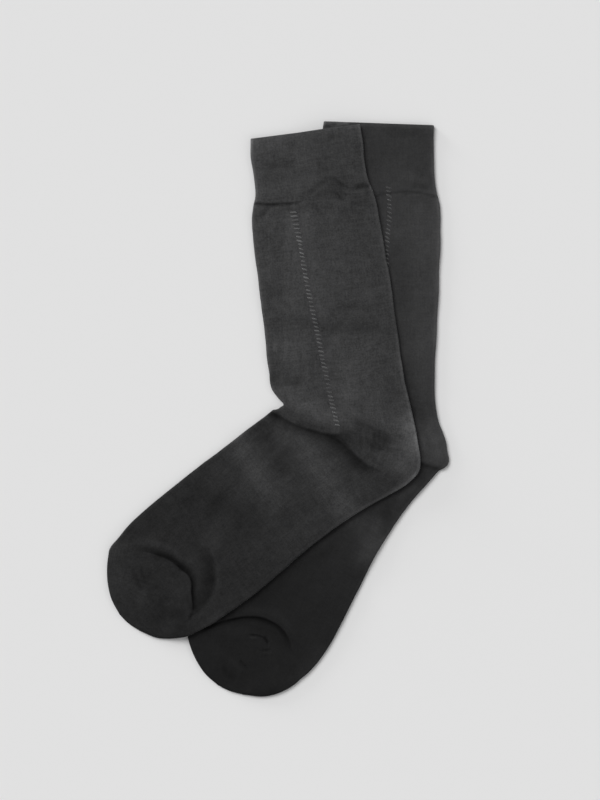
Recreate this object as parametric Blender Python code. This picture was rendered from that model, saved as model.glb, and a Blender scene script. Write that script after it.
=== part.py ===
# A pair of long fine-knit socks laid flat, the second crossed over the first.
# Each sock is one knitted tube: a doubled cuff, a leg with a raised clock of slanted
# stitches, a turned heel, a foot and a closed toe. Its two panels lie on each other.
# Metres, +Z up, the floor at z = 0 and the origin under the middle of the pair.

import math
from collections import namedtuple

import bpy
import numpy as np
from mathutils import Vector
from mathutils.bvhtree import BVHTree

MM = 0.001

# Knitted wall, in millimetres
KNIT_WALL = 1.3
CUFF_WALL = 1.5
PANEL_GAP = 0.8             # between the two panels of the flattened tube
CUFF_END = 0.232            # share of the straight leg that the cuff takes
CUFF_STEP = 0.008           # half the share over which the cuff steps down to the leg

# Bend of the tube's axis at the ankle, and the raised clock, in millimetres
TURN_RADIUS = 55.0
CLOCK_PITCH = 3.2
CLOCK_HALF_WIDTH = 2.4
STITCH_HALF_WIDTH = 1.3
STITCH_RAISE = 0.55
STITCH_SLANT = 1.2          # how far a stitch's front end sits nearer the cuff
CLOCK_START = 0.275         # share of the straight leg
CLOCK_END = 0.40            # share of the turn

# How the upper sock lies over the lower one, in millimetres
LAY_GAP = 0.45
LAY_REACH = 10.0            # its cloth leaves the lower sock's edge this far out
GRID_STEP = 2.0

# Points round a section
CROWN_POWER = 6             # how squarely the upper panel rises inside its folds
FRONT_COLUMNS = 5           # from the front fold to the clock
BACK_COLUMNS = 7            # from the clock to the back fold
FOLD_ANGLES = (0.0, 35.0, 65.0)
END_ANGLES = (90.0, 55.0, 28.0, 9.0)    # sections that round off the toe's end
FLOOR_COLUMNS = 4           # underside of the sock that lies on the flat floor
DRAPED_COLUMNS = 14         # underside of the sock that lies over the other

# Sections of the tube, cuff to toe. "at" is a share of the straight leg or of the turn, a
# share of the straight foot, or millimetres from the ankle in the toe, for the front end and
# the back end. front and back are the reach from the axis to each fold, in millimetres; bow is
# how far the section's middle leans back from the toe; height is that of the flattened tube.
Section = namedtuple("Section", "zone at_front at_back front back_over back_under bow height")
SECTIONS = [
    Section("leg", 0.000, 0.000, 42.5, 42.4, 42.4, 0, 4.1),
    Section("leg", 0.060, 0.060, 44.0, 42.8, 42.8, 0, 4.3),
    Section("leg", 0.150, 0.150, 43.7, 42.4, 43.9, 0, 4.3),
    Section("leg", 0.224, 0.224, 44.9, 44.2, 46.8, 0, 4.4),
    Section("leg", 0.240, 0.240, 46.2, 45.3, 47.9, 0, 3.4),
    Section("leg", 0.285, 0.285, 48.9, 47.2, 49.7, 0, 3.8),
    Section("leg", 0.350, 0.350, 50.1, 48.1, 50.5, 0, 3.6),
    Section("leg", 0.450, 0.450, 50.3, 49.0, 50.5, 0, 3.6),
    Section("leg", 0.580, 0.580, 50.3, 50.4, 50.6, 0, 3.6),
    Section("leg", 0.730, 0.730, 50.4, 50.7, 50.0, 0, 3.6),
    Section("leg", 0.870, 0.870, 51.0, 51.2, 50.4, 0, 3.7),
    Section("leg", 0.937, 0.937, 50.7, 51.5, 52.4, 0, 3.8),
    Section("leg", 0.970, 0.970, 47.9, 51.7, 54.2, 0, 3.9),
    Section("turn", 0.00, 0.00, 44.6, 52.4, 57.4, 0, 4.1),
    Section("turn", 0.12, 0.12, 45.6, 54.8, 60.5, 0, 4.3),
    Section("turn", 0.25, 0.25, 47.0, 59.2, 63.0, 0, 4.6),
    Section("turn", 0.36, 0.36, 48.4, 64.3, 65.6, 0, 4.9),
    Section("turn", 0.43, 0.43, 49.3, 68.4, 65.0, 0, 5.0),
    Section("turn", 0.50, 0.50, 50.0, 71.0, 60.4, 0, 3.8),
    Section("turn", 0.60, 0.60, 50.5, 67.4, 57.7, 0, 4.5),
    Section("turn", 0.72, 0.72, 50.9, 60.2, 55.2, 0, 4.4),
    Section("turn", 0.86, 0.86, 51.0, 53.8, 52.8, 0, 4.2),
    Section("turn", 1.00, 1.00, 51.0, 50.4, 51.2, 0, 4.1),
    Section("foot", 0.20, 0.20, 51.2, 49.3, 49.8, 0, 4.0),
    Section("foot", 0.45, 0.45, 51.1, 49.2, 50.1, 0, 3.8),
    Section("foot", 0.72, 0.72, 51.4, 50.4, 53.0, 0, 3.8),
    Section("foot", 1.00, 1.00, 51.1, 51.3, 56.2, 0, 3.9),
    Section("toe", 147.0, 145.0, 50.7, 51.4, 57.3, 4, 3.9),
    Section("toe", 160.0, 156.0, 50.0, 51.3, 57.2, 10, 3.5),
    Section("toe", 172.0, 164.0, 48.8, 50.9, 56.6, 15, 4.4),
    Section("toe", 185.0, 170.5, 45.8, 50.1, 55.6, 21, 4.3),
    Section("toe", 196.0, 177.0, 42.9, 48.8, 54.0, 27, 3.3),
    Section("toe", 199.0, 180.5, 40.2, 48.2, 52.8, 25, 4.7),
    Section("toe", 205.6, 187.4, 33.4, 46.9, 50.8, 17, 4.9),
    Section("toe", 212.8, 197.8, 23.3, 41.8, 45.6, 9, 4.7),
    Section("toe", 218.0, 208.0, 12.0, 33.8, 36.4, 2, 4.2),
    Section("toe", 220.4, 216.2, -2.0, 20.0, 21.0, -3, 3.4),
]
TOE_START = 130.0           # millimetres from the ankle to the end of the straight foot

# How each sock lies: the middle of its cuff, in millimetres; the way its leg and its foot run,
# in degrees from straight down the length towards the toes' side; the length of its straight
# leg; the stretch of its foot; and the clock's place across the leg, at its top and its end.
Pose = namedtuple("Pose", "name cuff leg_turn foot_turn leg_run foot_scale clock_top clock_low")
OVER = Pose("sock_over", (21.9, 213.2), -7.2, 52.3, 206.0, 1.0, 0.335, 0.430)
UNDER = Pose("sock_under", (78.5, 219.7), 2.1, 32.5, 234.3, 0.985, 0.615, 0.565)


def smooth(knots, values, at):
    # Cubic through the rows. A knot's slope is the mean of its two sides' slopes, each weighted
    # by the other side's length: m = (h1 d0 + h0 d1) / (h0 + h1).
    values = np.asarray(values, float)
    span = np.diff(knots)
    slope = np.diff(values, axis=0)
    width = span.reshape([-1] + [1] * (values.ndim - 1))
    slope = slope / width
    inner = (width[1:] * slope[:-1] + width[:-1] * slope[1:]) / (width[1:] + width[:-1])
    tangent = np.concatenate([slope[:1], inner, slope[-1:]])
    cell = np.clip(np.searchsorted(knots, at, side="right") - 1, 0, len(span) - 1)
    shape = [-1] + [1] * (values.ndim - 1)
    h = span[cell].reshape(shape)
    t = ((at - knots[cell]) / span[cell]).reshape(shape)
    start = (1 + 2 * t) * (1 - t) ** 2 * values[cell] + t * (1 - t) ** 2 * h * tangent[cell]
    end = t * t * (3 - 2 * t) * values[cell + 1] - t * t * (1 - t) * h * tangent[cell + 1]
    return start + end


def heading(degrees):
    # Unit vector of the tube's axis, turned from -Y towards -X, and the one to its back fold.
    angle = math.radians(degrees)
    along = np.array([-math.sin(angle), -math.cos(angle)])
    back = np.array([math.cos(angle), -math.sin(angle)])
    return along, back


class Tube:
    # The flattened tube of one sock: its folds, heights and wall against the distance down its
    # axis from the cuff.
    def __init__(self, pose):
        self.pose = pose
        turn = math.radians(pose.foot_turn - pose.leg_turn)
        tangent = TURN_RADIUS * math.tan(turn / 2)
        leg, leg_back = heading(pose.leg_turn)
        foot, foot_back = heading(pose.foot_turn)
        cuff = np.array(pose.cuff)
        ankle = cuff + leg * (pose.leg_run + tangent)
        centre = cuff + leg * pose.leg_run - leg_back * TURN_RADIUS
        turn_run = TURN_RADIUS * turn
        rows = []
        for row in SECTIONS:
            reach = row.back_over if pose is OVER else row.back_under
            if row.zone == "leg":
                station = row.at_front * pose.leg_run
                front = cuff + leg * station - leg_back * row.front
                back = cuff + leg * station + leg_back * reach
                lean = leg
            elif row.zone == "turn":
                station = pose.leg_run + row.at_front * turn_run
                angle = pose.leg_turn + row.at_front * math.degrees(turn)
                lean, outward = heading(angle)
                front = centre + outward * (TURN_RADIUS - row.front)
                back = centre + outward * (TURN_RADIUS + reach)
            else:
                ends = np.array([row.at_front, row.at_back]) * pose.foot_scale
                if row.zone == "foot":
                    run = TOE_START * pose.foot_scale - tangent
                    ends = tangent + np.array([row.at_front, row.at_back]) * run
                station = pose.leg_run + turn_run + ends.mean() - row.bow - tangent
                front = ankle + foot * ends[0] - foot_back * row.front
                back = ankle + foot * ends[1] + foot_back * reach
                lean = foot
            rows.append((station, front, back, -lean * row.bow, row.height))
        self.knots = np.array([row[0] for row in rows])
        self.fronts = np.array([row[1] for row in rows])
        self.backs = np.array([row[2] for row in rows])
        self.bows = np.array([row[3] for row in rows])
        self.heights = np.array([row[4] for row in rows])
        self.end = self.knots[-1]
        self.clock_from = CLOCK_START * pose.leg_run
        self.clock_to = pose.leg_run + CLOCK_END * turn_run

    def wall(self, s):
        share = np.asarray(s) / self.pose.leg_run
        step = np.clip((CUFF_END + CUFF_STEP - share) / (2 * CUFF_STEP), 0, 1)
        return KNIT_WALL + (CUFF_WALL - KNIT_WALL) * step

    def inward(self, outline, s, sign):
        # Unit normal of a fold's outline, to the inside of the cloth.
        step = 0.4
        ahead = smooth(self.knots, outline, np.minimum(s + step, self.end))
        behind = smooth(self.knots, outline, np.maximum(s - step, 0))
        run = ahead - behind
        run = run / np.linalg.norm(run, axis=1, keepdims=True)
        return sign * np.column_stack([-run[:, 1], run[:, 0]])

    def points(self, s, t, angle, side, inside):
        # Points of the wall at distance s down the tube. t runs from the front fold, 0, to the
        # back fold, 1. angle is 0 on the fold's outermost line and 90 on the flat panels, side
        # is +1 on the upper panel and -1 on the lower one. inside picks the wall's inner face.
        s = np.asarray(s, float)
        wall = self.wall(s)
        fold = wall + PANEL_GAP / 2
        radius = fold - wall if inside else fold
        turn = math.radians(angle)
        # the toe's end is rounded off like a fold
        near = np.clip((s - (self.end - fold)) / radius, 0, 1)
        closing = np.sqrt(1 - near ** 2)
        depth = (fold - radius + radius * (1 - math.cos(turn)) * closing)[:, None]
        front = smooth(self.knots, self.fronts, s) + self.inward(self.fronts, s, 1) * depth
        back = smooth(self.knots, self.backs, s) + self.inward(self.backs, s, -1) * depth
        bow = smooth(self.knots, self.bows, s)
        t = np.asarray(t, float)[:, None]
        arch = 4 * t * (1 - t)
        flat = front + (back - front) * t + bow * arch
        height = smooth(self.knots, self.heights, s)
        crown = (height - 2 * fold) * (1 - (2 * t[:, 0] - 1) ** CROWN_POWER)
        lift = side * radius * math.sin(turn)
        if side > 0 and angle == 90:
            lift = lift + crown
        return np.column_stack([flat, fold + lift * closing])


Column = namedtuple("Column", "share angle side")


def columns(under):
    # Lines down the tube, once round: upper panel front to back, then lower panel back to front.
    # A share counts across the whole panel (end), up to the clock (front), from the clock on
    # (back), or is a distance in millimetres from the clock's own line (clock).
    ring = []
    for angle in FOLD_ANGLES:
        ring.append(Column(("end", 0.0), angle, 1))
    for i in range(FRONT_COLUMNS):
        ring.append(Column(("front", i / FRONT_COLUMNS), 90, 1))
    for offset in (-CLOCK_HALF_WIDTH, -STITCH_HALF_WIDTH, STITCH_HALF_WIDTH, CLOCK_HALF_WIDTH):
        ring.append(Column(("clock", offset), 90, 1))
    for i in range(1, BACK_COLUMNS + 1):
        ring.append(Column(("back", i / BACK_COLUMNS), 90, 1))
    for angle in reversed(FOLD_ANGLES):
        ring.append(Column(("end", 1.0), angle, 1))
    for angle in FOLD_ANGLES[1:]:
        ring.append(Column(("end", 1.0), angle, -1))
    count = FLOOR_COLUMNS if under else DRAPED_COLUMNS
    for i in range(count + 1):
        ring.append(Column(("end", 1 - i / count), 90, -1))
    for angle in reversed(FOLD_ANGLES[1:]):
        ring.append(Column(("end", 0.0), angle, -1))
    return ring


def column_share(tube, column, s):
    # A column's place from the front fold, 0, to the back fold, 1.
    kind, value = column.share
    s = np.asarray(s, float)
    if kind == "end":
        return np.full(len(s), value)
    pose = tube.pose
    width = np.linalg.norm(smooth(tube.knots, tube.backs - tube.fronts, s), axis=1)
    down = np.clip((s - tube.clock_from) / (tube.clock_to - tube.clock_from), 0, 1)
    clock = pose.clock_top + (pose.clock_low - pose.clock_top) * down
    if kind == "clock":
        return clock + value / width
    if kind == "front":
        return (clock - CLOCK_HALF_WIDTH / width) * value
    start = clock + CLOCK_HALF_WIDTH / width
    return start + (1 - start) * value


def zip_lines(first, second):
    # Triangles between two lines of (key, vertex), taking the nearer key each time.
    faces = []
    i = 0
    j = 0
    while i < len(first) - 1 or j < len(second) - 1:
        more_first = i < len(first) - 1
        more_second = j < len(second) - 1
        if more_first and (not more_second or first[i + 1][0] <= second[j + 1][0]):
            faces.append((first[i][1], first[i + 1][1], second[j][1]))
            i += 1
        else:
            faces.append((first[i][1], second[j + 1][1], second[j][1]))
            j += 1
    return faces


def line_stations(tube, column, rings, inside):
    # Distances down one column, a key for each that its neighbours are matched by, and the
    # raise there. The two middle lines of the clock carry three points for each stitch.
    kind, value = column.share
    fine = kind == "clock" and abs(value) < CLOCK_HALF_WIDTH and not inside
    if not fine:
        return rings, rings, np.zeros(len(rings))
    slant = STITCH_SLANT / 2 * (-1 if value < 0 else 1)
    count = int((tube.clock_to - tube.clock_from) / CLOCK_PITCH)
    keys = []
    raises = []
    for stitch in range(count):
        start = tube.clock_from + stitch * CLOCK_PITCH
        for share, height in ((0.0, 0.0), (0.30, 1.0), (0.70, 1.0)):
            keys.append(start + share * CLOCK_PITCH)
            raises.append(height * STITCH_RAISE)
    keys = np.array(keys)
    raises = np.array(raises)
    above = rings[rings < keys[0] - CLOCK_PITCH]
    below = rings[rings > keys[-1] + CLOCK_PITCH]
    zeros_above = np.zeros(len(above))
    zeros_below = np.zeros(len(below))
    stations = np.concatenate([above, keys + slant, below])
    keys = np.concatenate([above, keys, below])
    return stations, keys, np.concatenate([zeros_above, raises, zeros_below])


def skin(tube, ring, rings, inside, first_vertex):
    # One face of the wall, outer or inner: its points, and its lines of (key, vertex).
    points = []
    lines = []
    count = first_vertex
    for column in ring:
        s, keys, raises = line_stations(tube, column, rings, inside)
        share = column_share(tube, column, s)
        line = tube.points(s, share, column.angle, column.side, inside)
        line[:, 2] += raises
        points.append(line)
        lines.append([(keys[i], count + i) for i in range(len(s))])
        count += len(s)
    return np.concatenate(points), lines


def end_cap(ring, lines):
    # Closes the toe between the upper panel's last points and the lower panel's.
    lower_from = next(i for i, column in enumerate(ring) if column.side < 0)
    upper = [(i, lines[i][-1][1]) for i in range(lower_from)]
    span = lower_from - 1
    lower = [upper[0]]
    count = len(ring) - lower_from + 1
    for i in range(len(ring) - 1, lower_from - 1, -1):
        lower.append((span * (len(ring) - i) / count, lines[i][-1][1]))
    lower.append(upper[-1])
    faces = []
    for face in zip_lines(upper, lower):
        if len(set(face)) == 3:
            faces.append(face[::-1])
    return faces


def sock_mesh(tube, under):
    # The whole wall: outer face, inner face, the mouth's rim and the closed toe.
    ring = columns(under)
    fold = KNIT_WALL + PANEL_GAP / 2
    centre = tube.end - fold
    middle = tube.knots[tube.knots < centre - fold]
    ends = np.cos(np.radians(END_ANGLES))
    outer_rings = np.concatenate([middle, centre + fold * ends])
    inner_rings = np.concatenate([middle, centre + (fold - KNIT_WALL) * ends])
    outer, outer_lines = skin(tube, ring, outer_rings, False, 0)
    inner, inner_lines = skin(tube, ring, inner_rings, True, len(outer))
    faces = []
    for i in range(len(ring)):
        j = (i + 1) % len(ring)
        faces += zip_lines(outer_lines[i], outer_lines[j])
        faces += [face[::-1] for face in zip_lines(inner_lines[i], inner_lines[j])]
        rim = (outer_lines[i][0][1], outer_lines[j][0][1], inner_lines[j][0][1], inner_lines[i][0][1])
        faces.append(rim)
    faces += end_cap(ring, outer_lines)
    faces += [face[::-1] for face in end_cap(ring, inner_lines)]
    return np.concatenate([outer, inner]), faces


def lay_heights(points, faces):
    # Height that a cloth laid over the lower sock takes, on a grid: the sock's own height,
    # carried LAY_REACH out past its edge and then smoothed down to the floor.
    tree = BVHTree.FromPolygons([Vector(point) for point in points], faces)
    low = points[:, :2].min(axis=0) - 3 * LAY_REACH
    high = points[:, :2].max(axis=0) + 3 * LAY_REACH
    xs = np.arange(low[0], high[0], GRID_STEP)
    ys = np.arange(low[1], high[1], GRID_STEP)
    above = 2 * points[:, 2].max()
    heights = np.zeros((len(xs), len(ys)))
    for i, x in enumerate(xs):
        for j, y in enumerate(ys):
            top = tree.ray_cast(Vector((x, y, above)), Vector((0, 0, -1)))[0]
            if top is not None:
                heights[i, j] = top.z
    reach = int(LAY_REACH / GRID_STEP)
    shifts = []
    for i in range(-reach, reach + 1):
        for j in range(-reach, reach + 1):
            if math.hypot(i, j) <= reach:
                shifts.append((i, j))
    spread = heights.copy()
    for i, j in shifts:
        spread = np.maximum(spread, np.roll(heights, (i, j), (0, 1)))
    total = np.zeros_like(heights)
    weight = 0.0
    for i, j in shifts:
        share = math.cos(math.pi / 2 * math.hypot(i, j) / (reach + 1))
        total += share * np.roll(spread, (i, j), (0, 1))
        weight += share
    lay = total / weight
    return low, lay + LAY_GAP * np.clip(lay, 0, 1)


def lay_over(points, low, lay):
    # Adds the laid height under each point, read between the grid's four nearest cells.
    place = (points[:, :2] - low) / GRID_STEP
    cell = np.clip(place.astype(int), 0, np.array(lay.shape) - 2)
    share = np.clip(place - cell, 0, 1)
    i, j = cell.T
    a, b = share.T
    near = lay[i, j] * (1 - a) * (1 - b) + lay[i + 1, j] * a * (1 - b)
    far = lay[i, j + 1] * (1 - a) * b + lay[i + 1, j + 1] * a * b
    points[:, 2] += near + far


def knit_material():
    material = bpy.data.materials.new("fine_knit")
    material.use_nodes = True
    shader = material.node_tree.nodes["Principled BSDF"]
    shader.inputs["Base Color"].default_value = (0.032, 0.032, 0.033, 1)
    shader.inputs["Roughness"].default_value = 0.92
    shader.inputs["Metallic"].default_value = 0.0
    return material


def add_object(name, points, faces, material):
    mesh = bpy.data.meshes.new(name)
    mesh.from_pydata((points * MM).tolist(), [], faces)
    mesh.validate()
    mesh.shade_smooth()
    mesh.materials.append(material)
    sock = bpy.data.objects.new(name, mesh)
    bpy.context.collection.objects.link(sock)
    return sock


def main():
    for old in list(bpy.data.objects):
        bpy.data.objects.remove(old, do_unlink=True)
    under, under_faces = sock_mesh(Tube(UNDER), True)
    over, over_faces = sock_mesh(Tube(OVER), False)
    low, lay = lay_heights(under, under_faces)
    lay_over(over, low, lay)
    pair = np.concatenate([under, over])
    middle = (pair.min(axis=0) + pair.max(axis=0)) / 2
    middle[2] = 0
    material = knit_material()
    add_object(UNDER.name, under - middle, under_faces, material)
    add_object(OVER.name, over - middle, over_faces, material)


main()
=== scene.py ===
# A pair of fine-knit dress socks laid flat, one crossed over the other.
# Sizes are in millimetres until a mesh is made from them; the room's are in metres.

import math
import bpy
import numpy as np
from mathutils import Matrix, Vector


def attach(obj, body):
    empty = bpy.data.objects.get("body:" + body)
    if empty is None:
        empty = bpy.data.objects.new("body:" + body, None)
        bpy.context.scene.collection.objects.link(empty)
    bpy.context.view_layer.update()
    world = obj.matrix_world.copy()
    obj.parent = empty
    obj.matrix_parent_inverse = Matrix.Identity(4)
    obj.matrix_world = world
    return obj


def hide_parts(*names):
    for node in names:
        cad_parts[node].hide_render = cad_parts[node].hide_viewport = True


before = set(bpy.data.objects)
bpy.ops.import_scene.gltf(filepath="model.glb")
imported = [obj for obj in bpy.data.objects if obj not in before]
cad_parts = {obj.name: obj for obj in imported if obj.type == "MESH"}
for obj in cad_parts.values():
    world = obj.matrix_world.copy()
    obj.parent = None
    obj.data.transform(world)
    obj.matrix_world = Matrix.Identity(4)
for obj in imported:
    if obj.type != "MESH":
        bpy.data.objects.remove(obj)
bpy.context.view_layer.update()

mm = 0.001
print("frame loaded:", sorted(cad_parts))


# the cut and the mesh that both socks share
sockCut = {
    "knitWall": 1.3,
    "cuffWall": 1.5,
    "panelGap": 0.8,        # between the two panels of the flattened tube
    "cuffEnd": 0.232,       # share of the straight leg
    "cuffStep": 0.006,
    "turnRadius": 55.0,     # bend of the tube's axis at the ankle
    "toeStart": 130.0,      # from the ankle to the end of the straight foot
    "crownPower": 6,        # how squarely the upper panel rises inside its folds
    "upper": 120,           # mesh columns across the upper panel
    "lower": 60,
    "bend": 5,              # columns in each quarter of a fold
    "outerRows": 404,
    "innerRows": 64,
    "mouthRows": (0, 9, 3.0),               # the inside's rows are closer there: place, reach, gain
    "toeRows": (3.0, 2.5),                  # and all rows at the toe's end: reach, gain
    "rowSamples": 6000,
    "rimTurns": [144, 108, 72, 36],         # degrees round the rim at the mouth
    "toeClose": 0.985,      # where the toe's last row stands on its closing circle
    "edgeWaver": [(31, 0.10), (17, 0.07), (9, 0.03)],
    "waverLine": 11.0,      # the line through the waves that it follows
    "waverFrom": 12,        # it starts past the mouth and fades before the toe
    "waverEnd": 90,
    "waverFade": 40,
    "waveWays": 4,          # directions of the cloth's slow waves
    "layGap": 0.45,         # between the two socks
    "hem": [(2.0, 1.3, 0.22), (4.6, 0.9, -0.16)],       # its roll and the groove under that
    "creasePower": 1.5,     # how soon the creases die out round the folds at the sides
    "toeStill": 9,          # and before the toe's end
    "widerInside": 1.4,     # by how much they are wider on the inside face
    "hiddenMost": 0.7,      # the most that one lifts the underside
    "roomOutside": 0.6,     # what they leave over the lower panel
    "roomInside": 0.15,
    "roomLeast": 0.001,
    "insideDrop": 0.85,     # how far the inside of the upper panel drops, past the mouth
    "dropFrom": 18,
    "dropRun": 24,
}

# zone, place of the front end and of the back end, reach to the front fold, reach to the back
# fold of the top sock and of the lower one, lean of the middle back from the toe, height
sections = [
    ("leg", 0.000, 0.000, 42.5, 42.4, 42.4, 0, 4.1),
    ("leg", 0.060, 0.060, 44.0, 42.8, 42.8, 0, 4.3),
    ("leg", 0.150, 0.150, 43.7, 42.4, 43.9, 0, 4.3),
    ("leg", 0.224, 0.224, 44.9, 44.2, 46.8, 0, 4.4),
    ("leg", 0.240, 0.240, 46.2, 45.3, 47.9, 0, 3.8),
    ("leg", 0.285, 0.285, 48.9, 47.2, 49.7, 0, 3.8),
    ("leg", 0.350, 0.350, 50.1, 48.1, 50.5, 0, 3.6),
    ("leg", 0.450, 0.450, 50.3, 49.0, 50.5, 0, 3.6),
    ("leg", 0.580, 0.580, 50.3, 50.4, 50.6, 0, 3.6),
    ("leg", 0.730, 0.730, 50.4, 50.7, 50.0, 0, 3.6),
    ("leg", 0.870, 0.870, 51.0, 51.2, 50.4, 0, 3.7),
    ("leg", 0.937, 0.937, 50.2, 51.5, 52.4, 0, 3.8),
    ("leg", 0.970, 0.970, 46.6, 51.7, 54.2, 0, 3.9),
    ("turn", 0.00, 0.00, 43.0, 52.4, 57.4, 0, 4.1),
    ("turn", 0.12, 0.12, 45.6, 54.8, 60.5, 0, 4.3),
    ("turn", 0.25, 0.25, 47.0, 59.2, 63.0, 0, 4.6),
    ("turn", 0.36, 0.36, 48.4, 64.3, 65.6, 0, 4.7),
    ("turn", 0.43, 0.43, 49.3, 68.4, 65.0, 0, 4.7),
    ("turn", 0.50, 0.50, 50.0, 71.0, 60.4, 0, 4.7),
    ("turn", 0.60, 0.60, 50.5, 67.4, 57.7, 0, 4.5),
    ("turn", 0.72, 0.72, 50.9, 60.2, 55.2, 0, 4.4),
    ("turn", 0.86, 0.86, 51.0, 53.8, 52.8, 0, 4.2),
    ("turn", 1.00, 1.00, 51.0, 50.9, 51.2, 0, 4.1),
    ("foot", 0.20, 0.20, 51.2, 49.9, 49.8, 0, 4.0),
    ("foot", 0.45, 0.45, 51.1, 49.9, 50.1, 0, 3.8),
    ("foot", 0.72, 0.72, 51.4, 51.3, 53.0, 0, 3.8),
    ("foot", 1.00, 1.00, 51.1, 52.3, 56.2, 0, 3.9),
    ("toe", 147.0, 145.0, 50.7, 51.9, 57.3, 4, 3.9),
    ("toe", 160.0, 156.0, 50.0, 51.3, 57.2, 10, 4.0),
    ("toe", 172.0, 164.0, 48.8, 50.9, 56.6, 15, 4.1),
    ("toe", 185.0, 170.5, 45.8, 50.1, 55.6, 21, 4.2),
    ("toe", 196.0, 177.0, 42.9, 48.8, 54.0, 27, 4.4),
    ("toe", 199.0, 180.5, 40.2, 48.2, 52.8, 25, 4.6),
    ("toe", 205.6, 187.4, 33.4, 46.9, 50.8, 17, 4.8),
    ("toe", 212.8, 197.8, 23.3, 41.8, 45.6, 9, 4.7),
    ("toe", 218.0, 208.0, 12.0, 33.8, 36.4, 2, 4.2),
    ("toe", 220.4, 216.2, -2.0, 20.0, 21.0, -1, 3.4),
]


def smoothStep(x):
    # 0 up to 0, 1 from 1 on, and 3x^2 - 2x^3 between them
    x = np.clip(x, 0, 1)
    return x * x * (3 - 2 * x)


def splineRows(knots, values, at):
    # cubic through the rows: each knot's slope is the mean of the slopes on its two sides,
    # weighted by the other side's length, and Hermite's four terms fill the spans
    values = np.asarray(values, float)
    tail = [1] * (values.ndim - 1)
    span = np.diff(knots)
    width = span.reshape([-1] + tail)
    slope = np.diff(values, axis=0) / width
    inner = (width[1:] * slope[:-1] + width[:-1] * slope[1:]) / (width[1:] + width[:-1])
    tangent = np.concatenate([slope[:1], inner, slope[-1:]])
    cell = np.clip(np.searchsorted(knots, at, side="right") - 1, 0, len(span) - 1)
    h = span[cell].reshape([-1] + tail)
    t = ((at - knots[cell]) / span[cell]).reshape([-1] + tail)
    start = (1 + 2 * t) * (1 - t) ** 2 * values[cell] + t * (1 - t) ** 2 * h * tangent[cell]
    end = t * t * (3 - 2 * t) * values[cell + 1] - t * t * (1 - t) * h * tangent[cell + 1]
    return start + end


def heading(degrees):
    # the way the tube's axis runs, turned from -Y towards -X, and the way to its back fold
    angle = math.radians(degrees)
    along = np.array([-math.sin(angle), -math.cos(angle)])
    back = np.array([math.cos(angle), -math.sin(angle)])
    return along, back


def layTube(sock):
    # one row for each section: distance down the axis, front fold, back fold, lean, height.
    # The leg is straight, the turn is an arc about a centre in front of the ankle, and the foot
    # and toe are measured from the point where the two straight axes would meet
    radius = sockCut["turnRadius"]
    turn = math.radians(sock["footTurn"] - sock["legTurn"])
    tangent = radius * math.tan(turn / 2)
    leg, legBack = heading(sock["legTurn"])
    foot, footBack = heading(sock["footTurn"])
    cuff = np.array(sock["cuff"])
    legRun = sock["legRun"]
    ankle = cuff + leg * (legRun + tangent)
    centre = cuff + leg * legRun - legBack * radius
    rows = []
    for zone, atFront, atBack, front, backTop, backLow, bow, height in sections:
        back = backTop if sock["onTop"] else backLow
        if zone == "leg":
            station = atFront * legRun
            ends = (cuff + leg * station - legBack * front, cuff + leg * station + legBack * back)
        elif zone == "turn":
            station = legRun + atFront * radius * turn
            outward = heading(sock["legTurn"] + atFront * math.degrees(turn))[1]
            ends = (centre + outward * (radius - front), centre + outward * (radius + back))
        else:
            places = np.array([atFront, atBack]) * sock["footScale"]
            if zone == "foot":
                run = sockCut["toeStart"] * sock["footScale"] - tangent
                places = tangent + np.array([atFront, atBack]) * run
            station = legRun + radius * turn + places.mean() - bow - tangent
            ends = (ankle + foot * places[0] - footBack * front,
                    ankle + foot * places[1] + footBack * back)
        rows.append((station, ends[0], ends[1], -foot * bow, height))
    return {
        "knots": np.array([row[0] for row in rows]),
        "fronts": np.array([row[1] for row in rows]),
        "backs": np.array([row[2] for row in rows]),
        "leans": np.array([row[3] for row in rows]),
        "heights": np.array([row[4] for row in rows]),
        "legRun": legRun,
        "end": rows[-1][0],
        "mouthWay": np.append(-leg, 0),
        "seed": sock["seed"],
    }


def wallAt(tube, s):
    # the doubled cuff's wall, stepping down to the single knit's
    step = sockCut["cuffStep"]
    cuff = smoothStep((sockCut["cuffEnd"] + step - s / tube["legRun"]) / (2 * step))
    return sockCut["knitWall"] + (sockCut["cuffWall"] - sockCut["knitWall"]) * cuff


def outlineAt(tube, name, s):
    # a fold's outline as a cubic by its own running length, so that it doesn't bulge where the
    # sections fan out round the toe
    outline = tube[name]
    steps = np.linalg.norm(np.diff(outline, axis=0), axis=1)
    run = np.concatenate([[0], np.cumsum(steps)])
    return splineRows(run, outline, np.interp(s, tube["knots"], run))


def inward(tube, name, s, sign):
    # unit normal of one fold's outline, towards the inside of the cloth
    apart = 0.4
    ahead = outlineAt(tube, name, np.minimum(s + apart, tube["end"]))
    behind = outlineAt(tube, name, np.maximum(s - apart, 0))
    run = ahead - behind
    run = run / np.linalg.norm(run, axis=1, keepdims=True)
    return sign * np.column_stack([-run[:, 1], run[:, 0]])


def loopColumns():
    # once round the tube, from the front fold over the upper panel to the back fold and home
    # underneath: place across, angle round the fold (a right angle on the panels), side
    upper, lower, bend = sockCut["upper"], sockCut["lower"], sockCut["bend"]
    arc = np.arange(bend) / bend * math.pi / 2
    across = np.concatenate([np.zeros(bend), np.linspace(0, 1, upper + 1), np.ones(2 * bend - 1),
                             np.linspace(1, 0, lower + 1), np.zeros(bend - 1)])
    flatUpper = np.full(upper + 1, math.pi / 2)
    flatLower = np.full(lower + 1, math.pi / 2)
    angle = np.concatenate([arc, flatUpper, arc[::-1], arc[1:], flatLower, arc[:0:-1]])
    side = np.where(np.arange(len(across)) < 2 * bend + upper + 1, 1, -1)
    return across, angle, side


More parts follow.
